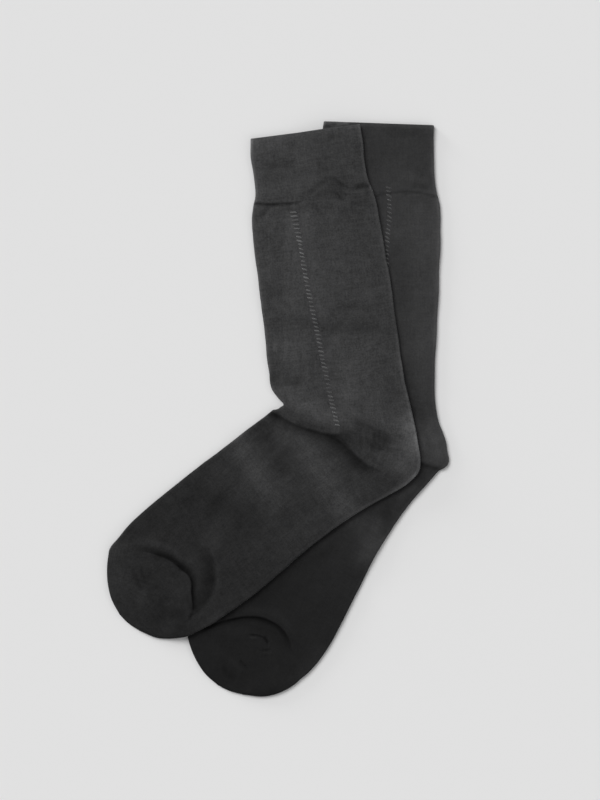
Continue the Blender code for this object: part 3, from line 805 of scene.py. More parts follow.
# the lower sock, which lies on the floor
sockUnder = {
    "cuff": (78.0, 219.94),     # where its axis starts
    "legTurn": 2.1,             # degrees, as heading() counts them
    "footTurn": 32.5,
    "legRun": 234.3,
    "footScale": 0.979,
    "onTop": False,
    "mottle": 0.5,              # how strongly the knit's unevenness shows
    "seed": 41,
    "waves": [(46, 0.26), (23, 0.15), (11, 0.05)],      # length and rise
    "fineFolds": [(56, 6, 0.6), (290, 22, 0.5), (408, 24, 1.5)],        # closer rows there
    # a crease goes down by its depth, or swells up where that is negative. One with a lip is a step, higher
    # on the left of its path. Its tone is painted shade along it below 0 and painted light above 0, and a
    # patch is painted light and shade alone
    "creases": [
        # the toe's seam and the creases inside it
        {"path": [(-61.2, -169.0), (-48.9, -163.6), (-37.3, -161.2), (-25.0, -159.0), (-12.7, -159.6),
                  (-5.0, -162.5), (1.9, -166.6), (6.7, -172.1), (9.9, -178.3), (12.2, -184.8),
                  (14.6, -190.2)],
         "depth": 2.2, "width": 1.4, "right": 2.8, "lip": 0.9, "lipWidth": 4.0, "soft": 0.7,
         "fade": (0.1, 0.25), "tone": -0.5},
        {"path": [(-30.4, -154.8), (-11.9, -154.4), (-1.2, -157.1), (8.9, -165.6), (15.8, -177.9)],
         "depth": -0.5, "width": 3.0, "tone": 0.22},
        {"path": [(-23.5, -172.5), (-15.8, -172.9), (-10.4, -174.8), (-7.3, -178.6), (-7.3, -184.0)],
         "depth": 1.3, "width": 1.1, "lip": 0.35, "lipWidth": 1.6, "tone": -0.36},
        {"path": [(-11.2, -174.0), (-8.1, -176.3), (-6.5, -180.2)], "depth": 0.8, "width": 1.1, "tone": -0.3},
        {"path": [(-21.9, -174.9), (-18.9, -175.1), (-15.0, -175.1)],
         "depth": -0.3, "width": 0.9, "tone": 0.5},
        {"path": [(-28.9, -191.3), (-25.4, -195.2), (-21.2, -199.4)],
         "depth": 1.0, "width": 1.2, "lip": 0.3, "lipWidth": 1.6, "tone": -0.4},
        {"path": [(-37.3, -189.4), (-30.4, -197.1), (-22.7, -203.3)],
         "depth": -0.4, "width": 2.0, "tone": 0.16},
        {"path": [(-42.0, -195.6), (-37.3, -203.3), (-30.4, -208.7)],
         "depth": 0.8, "width": 2.0, "tone": -0.2},
        {"path": [(-13.5, -184.8), (-8.9, -184.8), (-3.5, -184.0)],
         "depth": 0.6, "width": 1.0, "tone": -0.16},
        {"path": [(-11.9, -186.7), (-7.3, -187.1), (-2.7, -186.3)],
         "depth": -0.3, "width": 0.9, "tone": 0.18},
        {"path": [(-53.5, -178.6), (-42.7, -186.3), (-32.0, -192.5)],
         "depth": -0.3, "width": 4.0, "tone": 0.08},
        {"path": [(-11.9, -184.8), (-4.2, -192.5), (-1.2, -204.1)], "depth": 0.5, "width": 3.0, "tone": 0.06},
        # the heel's crease, and soft hollows and swells along the leg and the foot
        {"path": [(105.1, -37.7), (110.9, -40.0), (117.4, -42.4), (125.1, -44.7), (130.5, -45.4)],
         "depth": 1.8, "width": 1.45, "right": 3.4, "lip": 0.8, "lipWidth": 2.6, "fade": (0.05, 0.1),
         "tone": -0.4},
        {"path": [(94.3, 121.7), (97.4, 105.5), (97.4, 87.0)], "depth": 0.7, "width": 8, "tone": -0.13},
        {"path": [(108.2, 70.8), (112.8, 57.8), (112.8, 44.7)], "depth": -0.5, "width": 7, "tone": 0.11},
        {"path": [(97.4, 32.3), (100.5, 15.4), (104.3, 0.0)], "depth": 0.9, "width": 7, "tone": -0.2},
        {"path": [(119.0, -14.6), (122.0, -21.6), (124.4, -31.6)], "depth": -0.7, "width": 8, "tone": 0.5},
        {"path": [(78.9, -90.9), (73.5, -100.9), (66.6, -114.0)], "depth": -1.0, "width": 8, "tone": 0.72},
        {"path": [(86.6, -60.1), (95.9, -64.7), (103.6, -70.8)], "depth": 0.6, "width": 6, "tone": -0.1},
        # where the cuff draws the leg in, and its folded corner
        {"path": [(74.3, 164.0), (82.0, 166.3), (92.8, 167.5), (102.8, 167.9), (112.8, 166.3),
                  (125.1, 163.2)],
         "depth": 0.7, "width": 2.0, "lip": 0.3, "lipWidth": 2.4, "soft": 1.0, "fade": (0.05, 0.05),
         "tone": -0.05},
        {"path": [(100.5, 170.9), (108.2, 171.3), (119.0, 169.4)], "depth": 0.9, "width": 2.6, "tone": -0.16},
        {"path": [(94.3, 167.1), (103.6, 166.3), (112.8, 167.9)], "depth": 0.5, "width": 1.2, "tone": -0.08},
        {"path": [(92.8, 178.6), (102.0, 179.4), (111.3, 178.6)], "depth": -0.4, "width": 3.0, "tone": 0.12},
        {"path": [(33.5, 217.4), (38.9, 218.4), (44.3, 219.3), (49.7, 219.9)],
         "depth": 1.2, "width": 0.9, "fade": (0.1, 0.4), "tone": -0.4},
    ],
    # painted light and shade alone, with no relief under it
    "paintedLightAndShade": [
        # light and shade across the cuff
        {"path": [(88.2, 214.8), (102.0, 214.1), (114.3, 212.5)], "width": 6.0, "tone": -0.17},
        {"path": [(98.9, 174.8), (109.7, 176.3), (119.7, 174.0)], "width": 3.5, "tone": 0.12},
        {"path": [(32.0, 220.2), (40.4, 220.6), (55.8, 221.4)],
         "width": 2.8, "fade": (0.05, 0.1), "tone": 0.85},
        {"path": [(115.9, 217.9), (118.2, 200.2)], "width": 3.5, "tone": 0.16},
        # across the leg
        {"path": [(85.9, 169.4), (85.9, 150.2), (85.1, 127.0)], "width": 5.0, "tone": 0.06},
        {"path": [(85.1, 157.8), (90.5, 119.4), (95.9, 77.0), (100.5, 42.4), (104.3, 11.6)],
         "width": 6.0, "tone": -0.06},
        {"path": [(119.7, 194.0), (122.8, 161.7), (123.6, 119.4), (121.3, 53.9)], "width": 4.5, "tone": 0.22},
        {"path": [(91.2, 137.1), (95.9, 123.2)], "width": 5, "tone": 0.07},
        {"path": [(103.6, 173.2), (108.2, 150.2), (111.3, 123.2)], "width": 8, "tone": 0.07},
        {"path": [(97.4, 77.0), (106.6, 73.2)], "width": 6, "tone": -0.08},
        # round the heel
        {"path": [(89.7, -69.3), (100.5, -63.1), (109.0, -55.4)], "width": 3.0, "tone": 0.38},
        {"path": [(109.7, -16.9), (112.0, -25.4), (112.8, -34.6)], "width": 2.4, "tone": 0.3},
        {"path": [(109.7, -3.1), (113.6, -10.8)], "width": 4, "tone": -0.12},
        # along the foot, with shade beside the top sock's
        {"path": [(50.4, -87.0), (58.9, -83.9), (65.1, -80.1)], "width": 4, "tone": 0.16},
        {"path": [(57.4, -86.2), (64.3, -84.7), (62.8, -93.2)], "width": 5.5, "tone": 0.34},
        {"path": [(49.7, -100.1), (36.6, -108.6), (17.3, -120.9), (-10.4, -143.2), (-25.8, -156.3)],
         "width": 5.0, "fade": (0.1, 0.2), "tone": -0.16},
        {"path": [(-21.2, -145.5), (-35.0, -155.5)], "width": 2.2, "tone": 0.3},
        {"path": [(-8.9, -132.4), (3.5, -123.2), (14.2, -115.5)], "width": 3.0, "tone": 0.26},
        {"path": [(85.1, -74.7), (82.8, -83.9), (82.0, -93.2)], "width": 5, "tone": -0.26},
        {"path": [(81.2, -98.6), (72.8, -112.4)], "width": 4, "tone": 0.26},
        {"path": [(60.4, -109.3), (55.8, -115.5)], "width": 6, "tone": -0.1},
        {"path": [(17.3, -142.5), (31.2, -149.4)], "width": 9, "tone": -0.08},
        # the toe, with painted shade along the seam's groove
        {"path": [(31.2, -186.3), (20.4, -201.0), (5.0, -211.0)], "width": 6.5, "tone": 0.27},
        {"path": [(-36.6, -169.4), (-24.3, -168.6)], "width": 4.5, "tone": 0.18},
        {"path": [(-48.9, -210.2), (-30.4, -217.1), (-8.9, -217.9)], "width": 3.5, "tone": 0.12},
        {"path": [(-62.8, -178.6), (-55.1, -183.3), (-47.4, -184.8)], "width": 5.0, "tone": 0.08},
        {"path": [(-21.2, -212.5), (-1.2, -209.4), (17.3, -199.4)], "width": 7, "tone": 0.12},
        {"path": [(-11.9, -167.9), (1.9, -177.9)], "width": 5, "tone": -0.08},
        {"path": [(-32.0, -164.0), (-11.9, -164.8), (-1.2, -170.9), (5.8, -181.0)],
         "width": 4.5, "tone": -0.14},
        {"path": [(-42.7, -162.9), (-33.5, -160.4), (-23.5, -159.5), (-12.7, -160.2), (-5.8, -162.9),
                  (0.8, -166.9), (5.6, -171.7), (8.9, -178.3), (11.2, -185.6)],
         "width": 1.2, "right": 1.5, "fade": (0.1, 0.3), "tone": -0.3},
    ],
    # guessed ones, in the lower panel
    "hiddenCreases": [
        {"path": [(30, 166), (60, 164), (90, 165), (124, 162)], "depth": 0.5, "width": 1.8},
        {"path": [(-50, -170), (-20, -165), (6, -180)], "depth": 0.6, "width": 1.8},
        {"path": [(30, -40), (55, -52), (80, -58)], "depth": 0.6, "width": 2.6},
    ],
    # painted light along the folds at the sides and down the leg and the foot, and painted shade where it is
    # below 0 at the toe, by distance from the mouth
    "paintedRimShading": {"fronts": [(0, 0.3), (380, 0.3), (430, 0.1), (450, -0.25), (500, -0.25)],
             "backs": [(0, 0.9), (60, 0.9), (120, 0.75), (240, 0.6), (290, 0.8), (310, 0.5), (410, 0.5),
                       (440, 0.1), (455, -0.25), (500, -0.25)]},
    # stops of tone down the leg and the foot, darker towards the toe; they hold painted light and shade as
    # well as the yarn's own tone
    "legToneAndShade": [(0, 1.02), (2.5, 0.88), (5, 0.76), (40, 0.78), (56, 0.90), (75, 0.96), (140, 0.92),
                 (190, 0.90), (225, 0.74), (250, 0.86), (270, 1.12), (300, 1.12)],
    "footToneAndShade": [(230, 0.62), (300, 0.50), (330, 0.42), (360, 0.355), (400, 0.295), (430, 0.265),
                  (480, 0.265)],
    # where the leg's tones meet the foot's, and how softly along it
    "ankleLine": {"path": [(48.1, -7.7), (78.9, -23.1), (105.1, -37.7), (117.4, -42.4), (132.8, -46.2)],
                  "soft": [(0, 8), (0.6, 1.2), (1, 1.2)]},
    # the line of the stitches, and their slant in degrees, size and tone along it
    "clock": {
        "seed": 46,
        "path": [(85.2, 172.5), (85.9, 161.7), (86.0, 147.1), (84.6, 134.0), (83.9, 123.2),
                 (83.4, 100.0), (83.3, 60.0), (83.2, 20.0), (83.0, -8.0)],
        "slants": [(0, -30), (0.12, -36), (1, -36)],
        "sizes": [(0, 1.05), (0.08, 1.0), (1, 1.0)],
        "tones": [(0, 0.42), (0.04, 0.42), (0.06, 0.62), (0.13, 0.7), (1, 0.72)],
    },
}

# the top sock, crossed over the lower one
sockOver = {
    "cuff": (21.4, 213.44),
    "legTurn": -7.2,
    "footTurn": 52.3,
    "legRun": 206.0,
    "footScale": 0.9955,
    "onTop": True,
    "mottle": 0.9,
    "seed": 17,
    "waves": [(52, 0.32), (24, 0.18), (12, 0.06)],
    "fineFolds": [(49, 6, 1.0), (240, 34, 1.1), (395, 26, 0.9)],
    # each crease's tone is painted shade along it below 0 and painted light above 0
    "creases": [
        # the leg lies over the foot in a rounded lip
        {"path": [(-15.0, 4.6), (-8.9, 0.8), (-2.7, -3.1), (3.5, -6.2), (9.6, -9.6), (16.6, -12.3),
                  (23.5, -14.6), (31.2, -16.2)],
         "depth": 1.3, "width": 2.6, "right": 4.0, "lip": 1.0, "lipWidth": 7.0, "soft": 2.3,
         "fade": (0.12, 0.3), "tone": -0.1},
        {"path": [(15.8, -12.7), (23.5, -15.0), (30.4, -16.6), (37.3, -18.5), (43.5, -19.2),
                  (49.7, -18.9), (55.8, -17.7)],
         "depth": 1.7, "width": 2.1, "right": 4.8, "lip": 1.2, "lipWidth": 6.0, "over": 0.2, "soft": 1.7,
         "fade": (0.4, 0.3), "tone": -0.18},
        {"path": [(34.3, -17.7), (41.2, -20.4), (46.6, -23.1), (52.0, -28.1), (57.4, -33.1),
                  (62.8, -38.1), (68.1, -42.4), (74.3, -45.4), (83.5, -47.7)],
         "depth": 2.0, "width": 1.9, "right": 5.0, "lip": 1.1, "lipWidth": 6.0, "soft": 1.4,
         "fade": (0.28, 0.25), "tone": -0.32},
        # broad soft folds of the leg
        {"path": [(-7.3, 67.0), (17.3, 67.0), (31.2, 63.1), (49.7, 59.3), (69.7, 61.6), (88.2, 66.2)],
         "depth": 0.9, "width": 4.5, "fade": (0.1, 0.2), "tone": -0.15},
        {"path": [(-7.3, 24.6), (7.3, 22.3), (25.0, 17.7)],
         "depth": 1.1, "width": 6, "fade": (0.1, 0.4), "tone": -0.32},
        {"path": [(-5.8, 48.5), (7.3, 47.0), (23.5, 46.2)], "depth": -0.8, "width": 6, "tone": 0.12},
        {"path": [(49.7, 53.9), (52.7, 37.0), (57.4, 11.6)], "depth": -0.8, "width": 7.5, "tone": 0.14},
        {"path": [(62.0, 121.7), (74.3, 109.3), (80.5, 93.2)], "depth": 0.5, "width": 5},
        {"path": [(42.0, 77.0), (62.0, 77.8), (82.0, 75.5)], "depth": 0.5, "width": 3.5, "tone": -0.06},
        {"path": [(85.1, 33.9), (87.4, 18.5), (88.9, 4.6)], "depth": 0.7, "width": 7, "tone": -0.19},
        # the heel's corner, with its blotch of small wrinkles and their painted shade, and painted light on
        # the corner
        {"path": [(102.8, -7.7), (104.3, -16.2), (105.9, -23.9), (105.9, -31.6)],
         "depth": -1.0, "width": 6, "right": 8.5, "tone": 0.58},
        {"path": [(62.0, -24.6), (71.2, -24.6), (79.7, -25.4)], "depth": 1.5, "width": 9.5, "tone": -0.45},
        {"path": [(73.5, -37.0), (82.0, -39.3)], "depth": 0.6, "width": 5, "tone": -0.1},
        {"path": [(63.5, -11.6), (72.0, -15.4), (80.5, -21.6), (87.4, -23.9)],
         "depth": 0.8, "width": 4.8, "tone": -0.33},
        {"path": [(63.5, -10.0), (69.7, -11.6), (75.1, -15.4), (82.0, -17.7), (88.2, -22.3),
                  (91.2, -26.2)],
         "depth": 0.9, "width": 1.3, "lip": 0.35, "lipWidth": 2.0, "tone": -0.16},
        {"path": [(70.5, -23.1), (73.5, -27.3), (77.4, -29.3), (85.1, -29.3)],
         "depth": 1.1, "width": 1.8, "lip": 0.35, "lipWidth": 1.6, "tone": -0.28},
        {"path": [(77.8, -24.6), (79.7, -26.2), (80.5, -28.5)], "depth": -0.5, "width": 0.9, "tone": 0.3},
        {"path": [(82.0, -26.9), (91.2, -27.7), (100.5, -27.7)], "depth": -0.35, "width": 0.9, "tone": 0.16},
        {"path": [(82.8, -30.0), (89.7, -31.2), (97.4, -30.8)], "depth": 0.6, "width": 1.1, "tone": -0.12},
        {"path": [(68.1, -32.3), (72.8, -37.0), (78.9, -40.0)], "depth": 0.5, "width": 1.6, "tone": -0.08},
        {"path": [(95.1, -34.6), (100.5, -37.7), (104.3, -41.6)], "depth": 0.5, "width": 1.2, "tone": -0.1},
        # the foot's slanting folds
        {"path": [(-11.9, -15.4), (-5.0, -26.9), (1.2, -38.5), (5.0, -46.2)],
         "depth": 1.5, "width": 6, "tone": -0.24},
        {"path": [(19.6, -26.2), (33.5, -47.7), (51.2, -77.0)], "depth": -1.4, "width": 11, "tone": 0.54},
        {"path": [(-28.9, -23.1), (-21.2, -35.4), (-11.9, -53.9), (-1.2, -73.2)],
         "depth": -1.2, "width": 7.5, "tone": 0.58},
        {"path": [(68.1, -50.8), (78.9, -52.4), (89.7, -55.4)], "depth": 0.5, "width": 6, "tone": -0.06},
        {"path": [(-59.7, -67.8), (-42.7, -69.3), (-28.9, -77.0), (-16.6, -92.4)],
         "depth": 0.7, "width": 8, "tone": -0.2},
        {"path": [(-86.6, -84.7), (-67.4, -75.5), (-48.1, -65.5)], "depth": -0.5, "width": 5, "tone": 0.05},
        {"path": [(5.8, -100.1), (17.3, -90.9), (31.2, -81.6)], "depth": -0.4, "width": 5, "tone": 0.05},
        # the toe's seam and the soft folds round it; the seam has painted shade and a painted light line on
        # its edge
        {"path": [(-64.9, -155.5), (-65.1, -150.2), (-65.6, -144.8), (-66.2, -139.4), (-66.1, -134.0),
                  (-67.1, -129.4), (-69.7, -125.9), (-74.3, -122.7), (-78.2, -119.0), (-83.5, -115.3),
                  (-90.9, -112.4), (-98.2, -110.0), (-105.1, -109.0), (-113.6, -108.6)],
         "depth": 2.6, "width": 1.5, "right": 3.3, "lip": 0.9, "lipWidth": 4.0, "over": 0.3,
         "fade": (0.06, 0.28), "paintedEdgeLight": 0.16, "tone": -0.62},
        {"path": [(-57.4, -102.4), (-52.4, -111.7), (-49.7, -120.9), (-49.3, -130.1), (-50.8, -138.6),
                  (-54.3, -145.5), (-59.7, -152.5), (-64.7, -158.6)],
         "depth": 1.8, "width": 2.6, "right": 6.4, "fade": (0.25, 0.1), "tone": -0.44},
        {"path": [(-64.3, -154.8), (-65.8, -157.8), (-67.0, -161.7)],
         "depth": 0.9, "width": 1.3, "tone": -0.35},
        {"path": [(-122.8, -104.7), (-103.6, -103.2), (-87.4, -106.3), (-75.1, -112.4), (-65.8, -120.1),
                  (-62.0, -130.1), (-61.2, -140.1)],
         "depth": -0.6, "width": 3.0, "tone": 0.14},
        {"path": [(-53.5, -100.1), (-47.4, -114.0), (-45.0, -130.9), (-47.4, -144.8)],
         "depth": -0.4, "width": 2.5, "tone": 0.1},
        {"path": [(-112.0, -120.1), (-109.0, -127.0), (-105.9, -134.0), (-99.7, -141.7)],
         "depth": 0.9, "width": 1.7, "tone": -0.16},
        {"path": [(-105.1, -118.6), (-102.8, -127.0), (-98.9, -136.3)],
         "depth": 0.6, "width": 1.4, "tone": -0.12},
        {"path": [(-98.2, -117.8), (-95.1, -121.7), (-92.8, -125.5)],
         "depth": -0.5, "width": 1.7, "tone": 0.22},
        {"path": [(-103.6, -137.8), (-102.0, -140.9), (-100.5, -144.0)],
         "depth": -0.4, "width": 1.4, "tone": 0.24},
        {"path": [(-121.3, -124.7), (-114.3, -135.5), (-102.0, -149.4)],
         "depth": -0.4, "width": 4.5, "tone": 0.15},
        {"path": [(-84.3, -123.2), (-78.9, -127.0), (-72.0, -130.9)],
         "depth": 0.5, "width": 1.2, "tone": -0.1},
        {"path": [(-123.6, -144.8), (-118.2, -152.5), (-109.0, -163.2)],
         "depth": 0.5, "width": 2.6, "tone": -0.05},
        {"path": [(-92.0, -146.3), (-79.7, -146.3), (-70.5, -150.9)],
         "depth": 0.6, "width": 2.4, "tone": -0.08},
        {"path": [(-90.5, -161.7), (-78.2, -157.1), (-67.4, -147.8)], "depth": 0.8, "width": 7, "tone": -0.2},
        {"path": [(-99.7, -132.4), (-93.6, -140.1), (-90.5, -149.4)],
         "depth": 0.4, "width": 6, "tone": -0.12},
        # where the cuff draws the leg in
        {"path": [(-20.4, 159.4), (-11.9, 158.6), (-4.2, 158.4), (5.0, 159.0), (13.5, 159.4),
                  (19.6, 160.9), (22.7, 164.0)],
         "depth": 1.6, "width": 1.5, "right": 2.1, "lip": 0.6, "lipWidth": 2.4, "soft": 0.9,
         "fade": (0.08, 0.3), "tone": -0.24},
        {"path": [(21.9, 162.5), (28.1, 168.6), (35.8, 174.0), (43.5, 178.6)],
         "depth": 0.8, "width": 2.0, "tone": -0.14},
        {"path": [(41.2, 180.2), (48.9, 174.0), (57.4, 168.6)],
         "depth": 1.1, "width": 1.8, "right": 2.2, "lip": 0.4, "lipWidth": 2.2, "soft": 1.0,
         "tone": -0.22},
        {"path": [(45.0, 168.6), (48.9, 163.2), (54.3, 158.6)],
         "depth": 1.2, "width": 1.6, "right": 2.0, "lip": 0.4, "lipWidth": 2.0, "soft": 0.9,
         "tone": -0.26},
        {"path": [(58.9, 170.6), (64.3, 171.7), (71.2, 171.3)],
         "depth": 1.4, "width": 2.0, "fade": (0.25, 0.05), "tone": -0.42},
        {"path": [(54.3, 164.8), (61.2, 165.9), (69.7, 162.5)], "depth": -0.6, "width": 2.4, "tone": 0.1},
        {"path": [(55.1, 157.8), (61.2, 157.1), (67.4, 158.6)], "depth": 0.7, "width": 1.8, "tone": -0.12},
        {"path": [(-5.0, 157.8), (-8.9, 152.5), (-15.0, 145.5)], "depth": 1.1, "width": 2.1, "tone": -0.22},
        {"path": [(28.9, 155.5), (33.5, 150.9), (38.1, 146.3)], "depth": 0.9, "width": 1.3, "tone": -0.16},
        {"path": [(8.1, 157.1), (10.4, 153.2), (14.2, 148.6)], "depth": 0.8, "width": 1.5, "tone": -0.1},
        {"path": [(-11.9, 140.1), (-7.3, 134.0), (0.4, 129.4)], "depth": 0.5, "width": 1.6, "tone": -0.08},
        # soft unevenness of the cuff
        {"path": [(-11.9, 188.7), (3.5, 187.1), (17.3, 190.2)], "depth": 0.5, "width": 2.8, "tone": -0.1},
        {"path": [(6.5, 189.4), (10.4, 190.2), (14.2, 192.5)], "depth": 0.5, "width": 1.0, "tone": -0.14},
        {"path": [(25.0, 194.0), (34.3, 195.6), (45.0, 197.9)], "depth": -0.35, "width": 1.0, "tone": 0.14},
        {"path": [(28.1, 178.6), (37.3, 183.3), (48.1, 184.8)], "depth": 0.5, "width": 3.0, "tone": -0.06},
    ],
    # painted light and shade alone, with no relief under it
    "paintedLightAndShade": [
        # shade under the ankle's lip, and the light above it
        {"path": [(-7.3, 0.0), (1.9, -5.0), (10.4, -9.6), (18.9, -13.1), (27.3, -15.8)],
         "width": 9.0, "right": 5.5, "fade": (0.1, 0.25), "tone": -0.48},
        {"path": [(-7.3, -1.5), (-1.2, -4.6), (5.8, -7.7)], "width": 2.6, "tone": -0.32},
        {"path": [(-3.5, -9.2), (5.0, -13.1)], "width": 4, "tone": -0.14},
        {"path": [(15.0, -14.6), (25.8, -17.7)], "width": 3, "tone": 0.12},
        {"path": [(5.0, 3.9), (10.4, -1.5), (17.3, -6.2)], "width": 5, "tone": -0.14},
        {"path": [(17.3, -13.9), (28.1, -16.6), (37.3, -19.2), (45.0, -21.6), (54.3, -21.6),
                  (62.0, -18.5)],
         "width": 6.0, "right": 6.0, "fade": (0.15, 0.2), "tone": -0.5},
        {"path": [(43.5, -21.6), (50.4, -27.7), (57.4, -33.9), (64.3, -40.0), (72.0, -44.7)],
         "width": 2.6, "right": 5.0, "tone": -0.25},
        {"path": [(31.2, -23.1), (43.5, -28.5), (55.8, -38.5), (65.1, -46.2)], "width": 6, "tone": -0.06},
        {"path": [(29.6, -12.3), (40.4, -13.1), (51.2, -13.1)], "width": 4, "tone": -0.12},
        {"path": [(18.9, -8.5), (28.1, -11.6), (37.3, -13.9), (45.0, -14.6)], "width": 3.0, "tone": -0.16},
        {"path": [(55.8, -23.1), (62.0, -30.0), (69.7, -35.4)], "width": 4.5, "tone": -0.1},
        {"path": [(12.7, 6.2), (23.5, 1.5), (34.3, -3.1), (43.5, -5.4)],
         "width": 5.0, "right": 4.0, "tone": 0.18},
        {"path": [(5.0, 13.9), (14.2, 14.6), (20.4, 13.1)], "width": 3.0, "tone": 0.08},
        # light and shade across the cuff
        {"path": [(-21.2, 206.4), (-7.3, 203.3), (9.6, 206.4)], "width": 8, "tone": 0.18},
        {"path": [(-18.9, 201.7), (-16.6, 186.3), (-15.0, 164.8)], "width": 5.0, "tone": 0.2},
        {"path": [(-11.9, 169.4), (0.4, 167.9), (12.7, 169.4)], "width": 5, "tone": 0.06},
        {"path": [(23.5, 212.5), (28.1, 192.5), (34.3, 170.9)], "width": 10, "tone": -0.12},
        {"path": [(43.5, 209.4), (46.6, 192.5), (49.7, 172.5)], "width": 8, "tone": -0.1},
        {"path": [(56.6, 218.7), (58.1, 205.6)], "width": 2.4, "tone": 0.14},
        {"path": [(40.4, 174.0), (52.7, 169.4), (65.1, 164.8)], "width": 8, "tone": -0.13},
        {"path": [(18.9, 180.2), (20.4, 170.9), (22.7, 158.6)], "width": 5, "tone": -0.14},
        {"path": [(20.4, 207.1), (38.9, 210.2), (55.8, 212.5)], "width": 7, "tone": -0.06},
        {"path": [(62.8, 200.2), (65.1, 183.3), (68.1, 167.9)], "width": 4, "tone": -0.13},
        # across the leg
        {"path": [(21.9, 155.5), (25.0, 130.9), (27.3, 96.2), (29.6, 80.9)], "width": 5.5, "tone": 0.18},
        {"path": [(-16.6, 138.6), (-2.7, 141.7), (11.2, 144.8)], "width": 8, "tone": 0.12},
        {"path": [(9.6, 150.9), (12.7, 130.9), (17.3, 96.2)], "width": 4.5, "tone": 0.06},
        {"path": [(-15.0, 123.2), (-10.4, 84.7), (-5.8, 53.9)], "width": 5, "tone": 0.05},
        {"path": [(60.4, 155.5), (68.1, 130.9), (77.4, 92.4), (88.2, 61.6)], "width": 9, "tone": -0.11},
        {"path": [(48.1, 67.8), (68.1, 63.1), (83.5, 57.0)], "width": 7, "tone": -0.12},
        {"path": [(-5.8, 90.9), (5.0, 90.9), (14.2, 92.4)], "width": 6, "tone": -0.1},
        {"path": [(-5.8, 63.1), (8.1, 61.6), (21.9, 63.1)], "width": 5, "tone": -0.1},
        {"path": [(34.3, 18.5), (38.9, 6.2), (42.7, -3.9)], "width": 5.5, "tone": -0.13},
        {"path": [(96.6, 47.7), (98.2, 29.3), (99.7, 18.5)], "width": 2.4, "tone": 0.28},
        {"path": [(5.0, 155.5), (15.8, 155.2), (25.8, 157.1)], "width": 4.5, "tone": -0.18},
        {"path": [(-11.2, 157.8), (-4.2, 157.6), (2.7, 158.4)], "width": 1.7, "tone": -0.3},
        {"path": [(5.0, 158.6), (8.1, 158.9), (11.2, 158.9)], "width": 1.4, "tone": -0.18},
        {"path": [(17.3, 161.3), (19.6, 162.9), (21.9, 164.0)], "width": 1.6, "tone": -0.22},
        {"path": [(-16.6, 152.5), (-11.9, 149.4)], "width": 3, "tone": 0.14},
        {"path": [(57.4, 137.1), (55.8, 120.1)], "width": 6, "tone": -0.08},
        {"path": [(55.8, 79.3), (68.1, 77.8)], "width": 5.5, "tone": -0.12},
        {"path": [(36.6, 65.5), (42.7, 70.8)], "width": 5, "tone": 0.12},
        {"path": [(81.2, 46.2), (82.0, 32.3)], "width": 5, "tone": 0.08},
        {"path": [(15.8, 52.4), (23.5, 49.3)], "width": 5, "tone": -0.08},
        {"path": [(-1.9, 43.1), (1.9, 40.0)], "width": 4, "tone": 0.1},
        {"path": [(-6.5, 70.8), (-1.2, 67.8)], "width": 4, "tone": 0.1},
        {"path": [(68.1, 114.0), (72.0, 101.6)], "width": 5, "tone": 0.08},
        {"path": [(1.9, 37.0), (11.2, 32.3)], "width": 6, "tone": -0.12},
        # round the heel
        {"path": [(92.8, 20.8), (95.9, 7.7), (97.4, -1.5)], "width": 4.5, "tone": -0.13},
        {"path": [(74.3, -27.7), (83.5, -29.3), (92.0, -32.3)], "width": 5, "tone": -0.14},
        {"path": [(94.3, -47.7), (95.9, -53.9)], "width": 3.5, "tone": -0.08},
        {"path": [(100.5, -13.9), (105.9, -20.8)], "width": 4.5, "tone": 0.2},
        {"path": [(85.9, -65.1), (95.9, -59.7), (102.8, -53.9), (107.0, -47.4)],
         "width": 2.0, "fade": (0.5, 0.1), "tone": 0.42},
        {"path": [(60.4, -39.3), (71.2, -41.6), (83.5, -42.4)], "width": 6, "tone": -0.3},
        {"path": [(91.2, -60.8), (97.4, -57.8), (105.1, -49.3)], "width": 4.0, "tone": 0.16},
        # along the foot
        {"path": [(-5.8, -72.4), (3.5, -77.8)], "width": 6, "tone": -0.2},
        {"path": [(48.1, -67.8), (48.1, -77.8), (40.4, -84.7)], "width": 6, "tone": -0.12},
        {"path": [(51.2, -70.8), (55.8, -75.5)], "width": 6, "tone": 0.14},
        {"path": [(-32.0, -32.3), (-26.6, -41.6)], "width": 5, "tone": 0.32},
        {"path": [(1.2, -49.3), (5.0, -59.3)], "width": 4, "tone": 0.12},
        {"path": [(-17.3, -43.1), (-13.5, -52.4)], "width": 4.5, "tone": -0.11},
        {"path": [(9.6, -29.3), (17.3, -52.4)], "width": 6, "tone": -0.12},
        {"path": [(43.5, -55.4), (49.7, -64.7)], "width": 5, "tone": 0.08},
        {"path": [(-45.8, -77.0), (-33.5, -86.2)], "width": 8, "tone": -0.17},
        {"path": [(-96.6, -86.2), (-84.3, -77.8), (-67.4, -71.6)], "width": 6.5, "tone": -0.12},
        # the toe, with painted shade along the seam's groove
        {"path": [(-85.9, -113.2), (-76.6, -117.8), (-68.9, -123.2), (-64.7, -130.9), (-63.5, -144.8)],
         "width": 4.0, "tone": -0.12},
        {"path": [(-101.3, -109.0), (-92.0, -111.7), (-84.3, -113.6), (-78.2, -116.7), (-72.8, -122.0),
                  (-68.1, -126.3)],
         "width": 2.0, "fade": (0.3, 0.2), "tone": -0.45},
        {"path": [(-72.0, -126.3), (-70.1, -137.1), (-70.5, -150.9)], "width": 3.0, "tone": -0.14},
        {"path": [(-127.4, -110.1), (-125.9, -129.4), (-119.7, -149.4)], "width": 6, "tone": 0.26},
        {"path": [(-127.4, -105.5), (-113.6, -101.6), (-96.6, -101.6)], "width": 5, "tone": 0.17},
        {"path": [(-82.8, -155.5), (-73.5, -158.6), (-76.6, -167.9)], "width": 6.5, "tone": -0.26},
        {"path": [(-62.8, -104.0), (-56.6, -115.5), (-55.1, -129.4)], "width": 5, "tone": -0.18},
        {"path": [(-72.0, -120.1), (-65.8, -127.0), (-62.0, -136.3)], "width": 4, "tone": -0.22},
